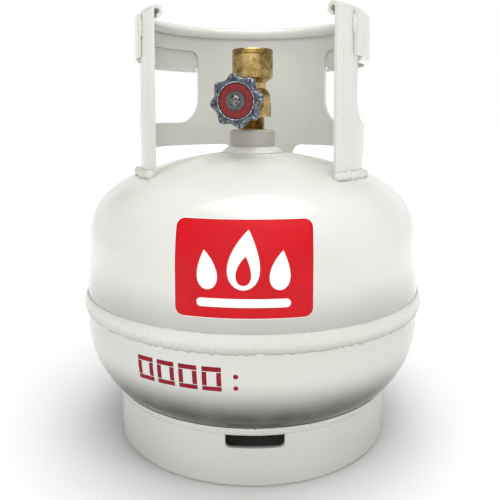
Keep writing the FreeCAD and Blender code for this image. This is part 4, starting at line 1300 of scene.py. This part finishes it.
@dataclass
class ValveAssembly:
    """Brass valve with its handwheel, outlet and relief side."""

    finishes: Finishes
    valve: ValveFrame = field(default_factory=ValveFrame)

    def build(self) -> None:
        """Dress the turned and forged pieces, and make the wheel, thread and spring."""
        dressed = (
            (self.finishes.forged_brass, ("valve_body",)),
            (self.finishes.nut_brass, ("bonnet_nut", "upper_spindle", "lower_spindle",
                                       "relief_cap", "relief_poppet")),
            (self.finishes.rubber, ("stem_seal", "seat_disc", "relief_seal")),
            (self.finishes.plastic, ("thrust_washer",)),
            (self.finishes.disc, ("wheel_disc",)),
            (self.finishes.dark_steel, ("wheel_washer",)),
            (self.finishes.steel, ("wheel_screw",)),
        )
        for finish, names in dressed:
            for name in names:
                dress_node(name, finish)
        CastHandwheel(self.finishes, self.valve).build()
        OutletThread(self.finishes).build()
        ReliefSpring(self.finishes, self.valve).build()


# ---------------------------------------------------------------- studio


@dataclass(frozen=True)
class SoftLight:
    """A square soft light: where it stands, its side in metres and its power in watts."""

    name: str
    place: tuple[float, float, float]
    size: float
    power: float

    def add(self, aim: Vector) -> None:
        """Add the light.

        Args:
            aim: the point that it faces.
        """
        data = bpy.data.lights.new(self.name, "AREA")
        data.size = self.size
        data.energy = self.power
        light = bpy.data.objects.new(self.name, data)
        light.location = self.place
        light.rotation_euler = (aim - light.location).to_track_quat("-Z", "Y").to_euler()
        bpy.context.scene.collection.objects.link(light)


@dataclass
class Studio:
    """Plain pale floor, soft lights and the camera."""

    azimuth: float = 6.5
    pitch: float = 4.85
    distance: float = 0.4838
    camera_height: float = 0.2386
    focal_share: float = 1.2505
    sensor: float = 36.0
    shift: tuple[float, float] = (-0.005, -0.165)
    floor_half: float = 12.0
    floor_tone: Colour = (0.86, 0.86, 0.86)
    floor_glow: tuple[float, float] = (0.0, 0.95)
    floor_fade: tuple[float, float] = (0.105, 0.85)
    horizon: float = 1.05
    sky: float = 0.3
    sky_band: tuple[float, float] = (0.25, 0.55)
    side_loss: float = 0.8
    side_band: tuple[float, float] = (0.46, 0.8)
    side_rise: tuple[float, float] = (0.1, 0.35)
    aim_height: float = 0.15
    lights: tuple[SoftLight, ...] = (
        SoftLight("left_light", (-0.8, -1.0, 1.7), 0.45, 1.1),
        SoftLight("right_light", (0.9, -0.9, 1.6), 0.45, 3.2),
        SoftLight("top_light", (0.1, -0.1, 1.9), 1.3, 29.0),
        SoftLight("front_light", (0.15, -1.8, 1.25), 1.1, 9.0),
    )

    def build(self) -> None:
        """Make the floor, the surround, the lights and the camera."""
        self._floor()
        self._world()
        for light in self.lights:
            light.add(UP * self.aim_height)
        self._camera()

    def _floor(self) -> None:
        """Add the floor, which glows more the farther it is from the tank."""
        build = bmesh.new()
        far = self.floor_half
        corners = [(-far, -far), (far, -far), (far, far), (-far, far)]
        build.faces.new([build.verts.new((x, y, 0.0)) for x, y in corners])
        mesh = bpy.data.meshes.new("studio_floor")
        build.to_mesh(mesh)
        build.free()
        shader = Shader("studio_floor")
        shader.set(Base_Color=self.floor_tone, Roughness=0.8, Specular_IOR_Level=0.1,
                   Emission_Color=(1.0, 1.0, 1.0))
        away = shader.add("ShaderNodeVectorMath", operation="LENGTH")
        shader.link(shader.place, away.inputs[0])
        glow = shader.span(away.outputs["Value"], *self.floor_fade, *self.floor_glow)
        shader.feed("Emission Strength", glow)
        mesh.materials.append(shader.material)
        floor = bpy.data.objects.new("studio_floor", mesh)
        bpy.context.scene.collection.objects.link(floor)

    def _world(self) -> None:
        """Set the white surround, darker overhead and to the sides above the horizon."""
        world = bpy.data.worlds.new("studio_surround")
        world.use_nodes = True
        maker = NodeMaker(world.node_tree)
        background = maker.tree.nodes["Background"]
        direction = maker.axes(maker.add("ShaderNodeTexCoord").outputs["Generated"])
        sky = maker.span(direction["Z"], *self.sky_band, self.horizon, self.sky)
        sideways = maker.span(maker.math("ABSOLUTE", direction["X"]), *self.side_band)
        raised = maker.span(direction["Z"], *self.side_rise, 0.0, self.side_loss)
        loss = maker.math("MULTIPLY", sideways, raised)
        maker.link(maker.math("SUBTRACT", sky, loss, clamp=True), background.inputs["Strength"])
        background.inputs["Color"].default_value = (1.0, 1.0, 1.0, 1.0)
        bpy.context.scene.world = world
        bpy.context.scene.view_settings.view_transform = "Standard"

    def _camera(self) -> None:
        """Add the camera and make it the scene's."""
        data = bpy.data.cameras.new("camera")
        data.sensor_width = self.sensor
        data.lens = self.sensor * self.focal_share
        data.shift_x, data.shift_y = self.shift
        camera = bpy.data.objects.new("camera", data)
        turn = math.radians(self.azimuth)
        camera.location = towards(turn - math.pi / 2.0) * self.distance + UP * self.camera_height
        camera.rotation_euler = (math.radians(90.0 - self.pitch), 0.0, turn)
        bpy.context.scene.collection.objects.link(camera)
        bpy.context.scene.camera = camera


def main() -> None:
    """Build every sub-assembly in order."""
    logging.basicConfig(level=logging.INFO, format="%(name)s %(message)s")
    finishes = Finishes()
    heads = PressedHeads(finishes)
    heads.dress()
    GirthSeam(heads).build()
    for name in ("collar", "right_grip", "left_grip", "foot_ring"):
        dress_node(name, finishes.enamel)
    # The valve boss takes the darker copy of the enamel: painted shade.
    dress_node("valve_boss", finishes.dull)
    CollarBeads(finishes).build()
    low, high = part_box("boss_weld")
    beads = (
        FilletBead(
            "bung_bead", "boss_weld", low_toe=(high[0], low[2]), high_toe=(17.4 * MM, high[2]),
            core=(18.5 * MM, low[2] - 1.0 * MM), bulge=0.5 * MM, lump=0.35 * MM, pitch=9.0, steps=220),
        FilletBead(
            "foot_bead", "foot_weld", low_toe=(101.95 * MM, 34.9 * MM), high_toe=(104.7 * MM, 41.5 * MM),
            core=(100.6 * MM, 38.8 * MM), bulge=0.55 * MM, lump=0.30 * MM, pitch=45.0, steps=900),
    )
    for bead in beads:
        bead.build(finishes)
    PrintedLabel(heads).build()
    DateStencil(heads).build()
    StampedMarks(finishes).build()
    ValveAssembly(finishes).build()
    Studio().build()


if __name__ == "__main__":
    main()
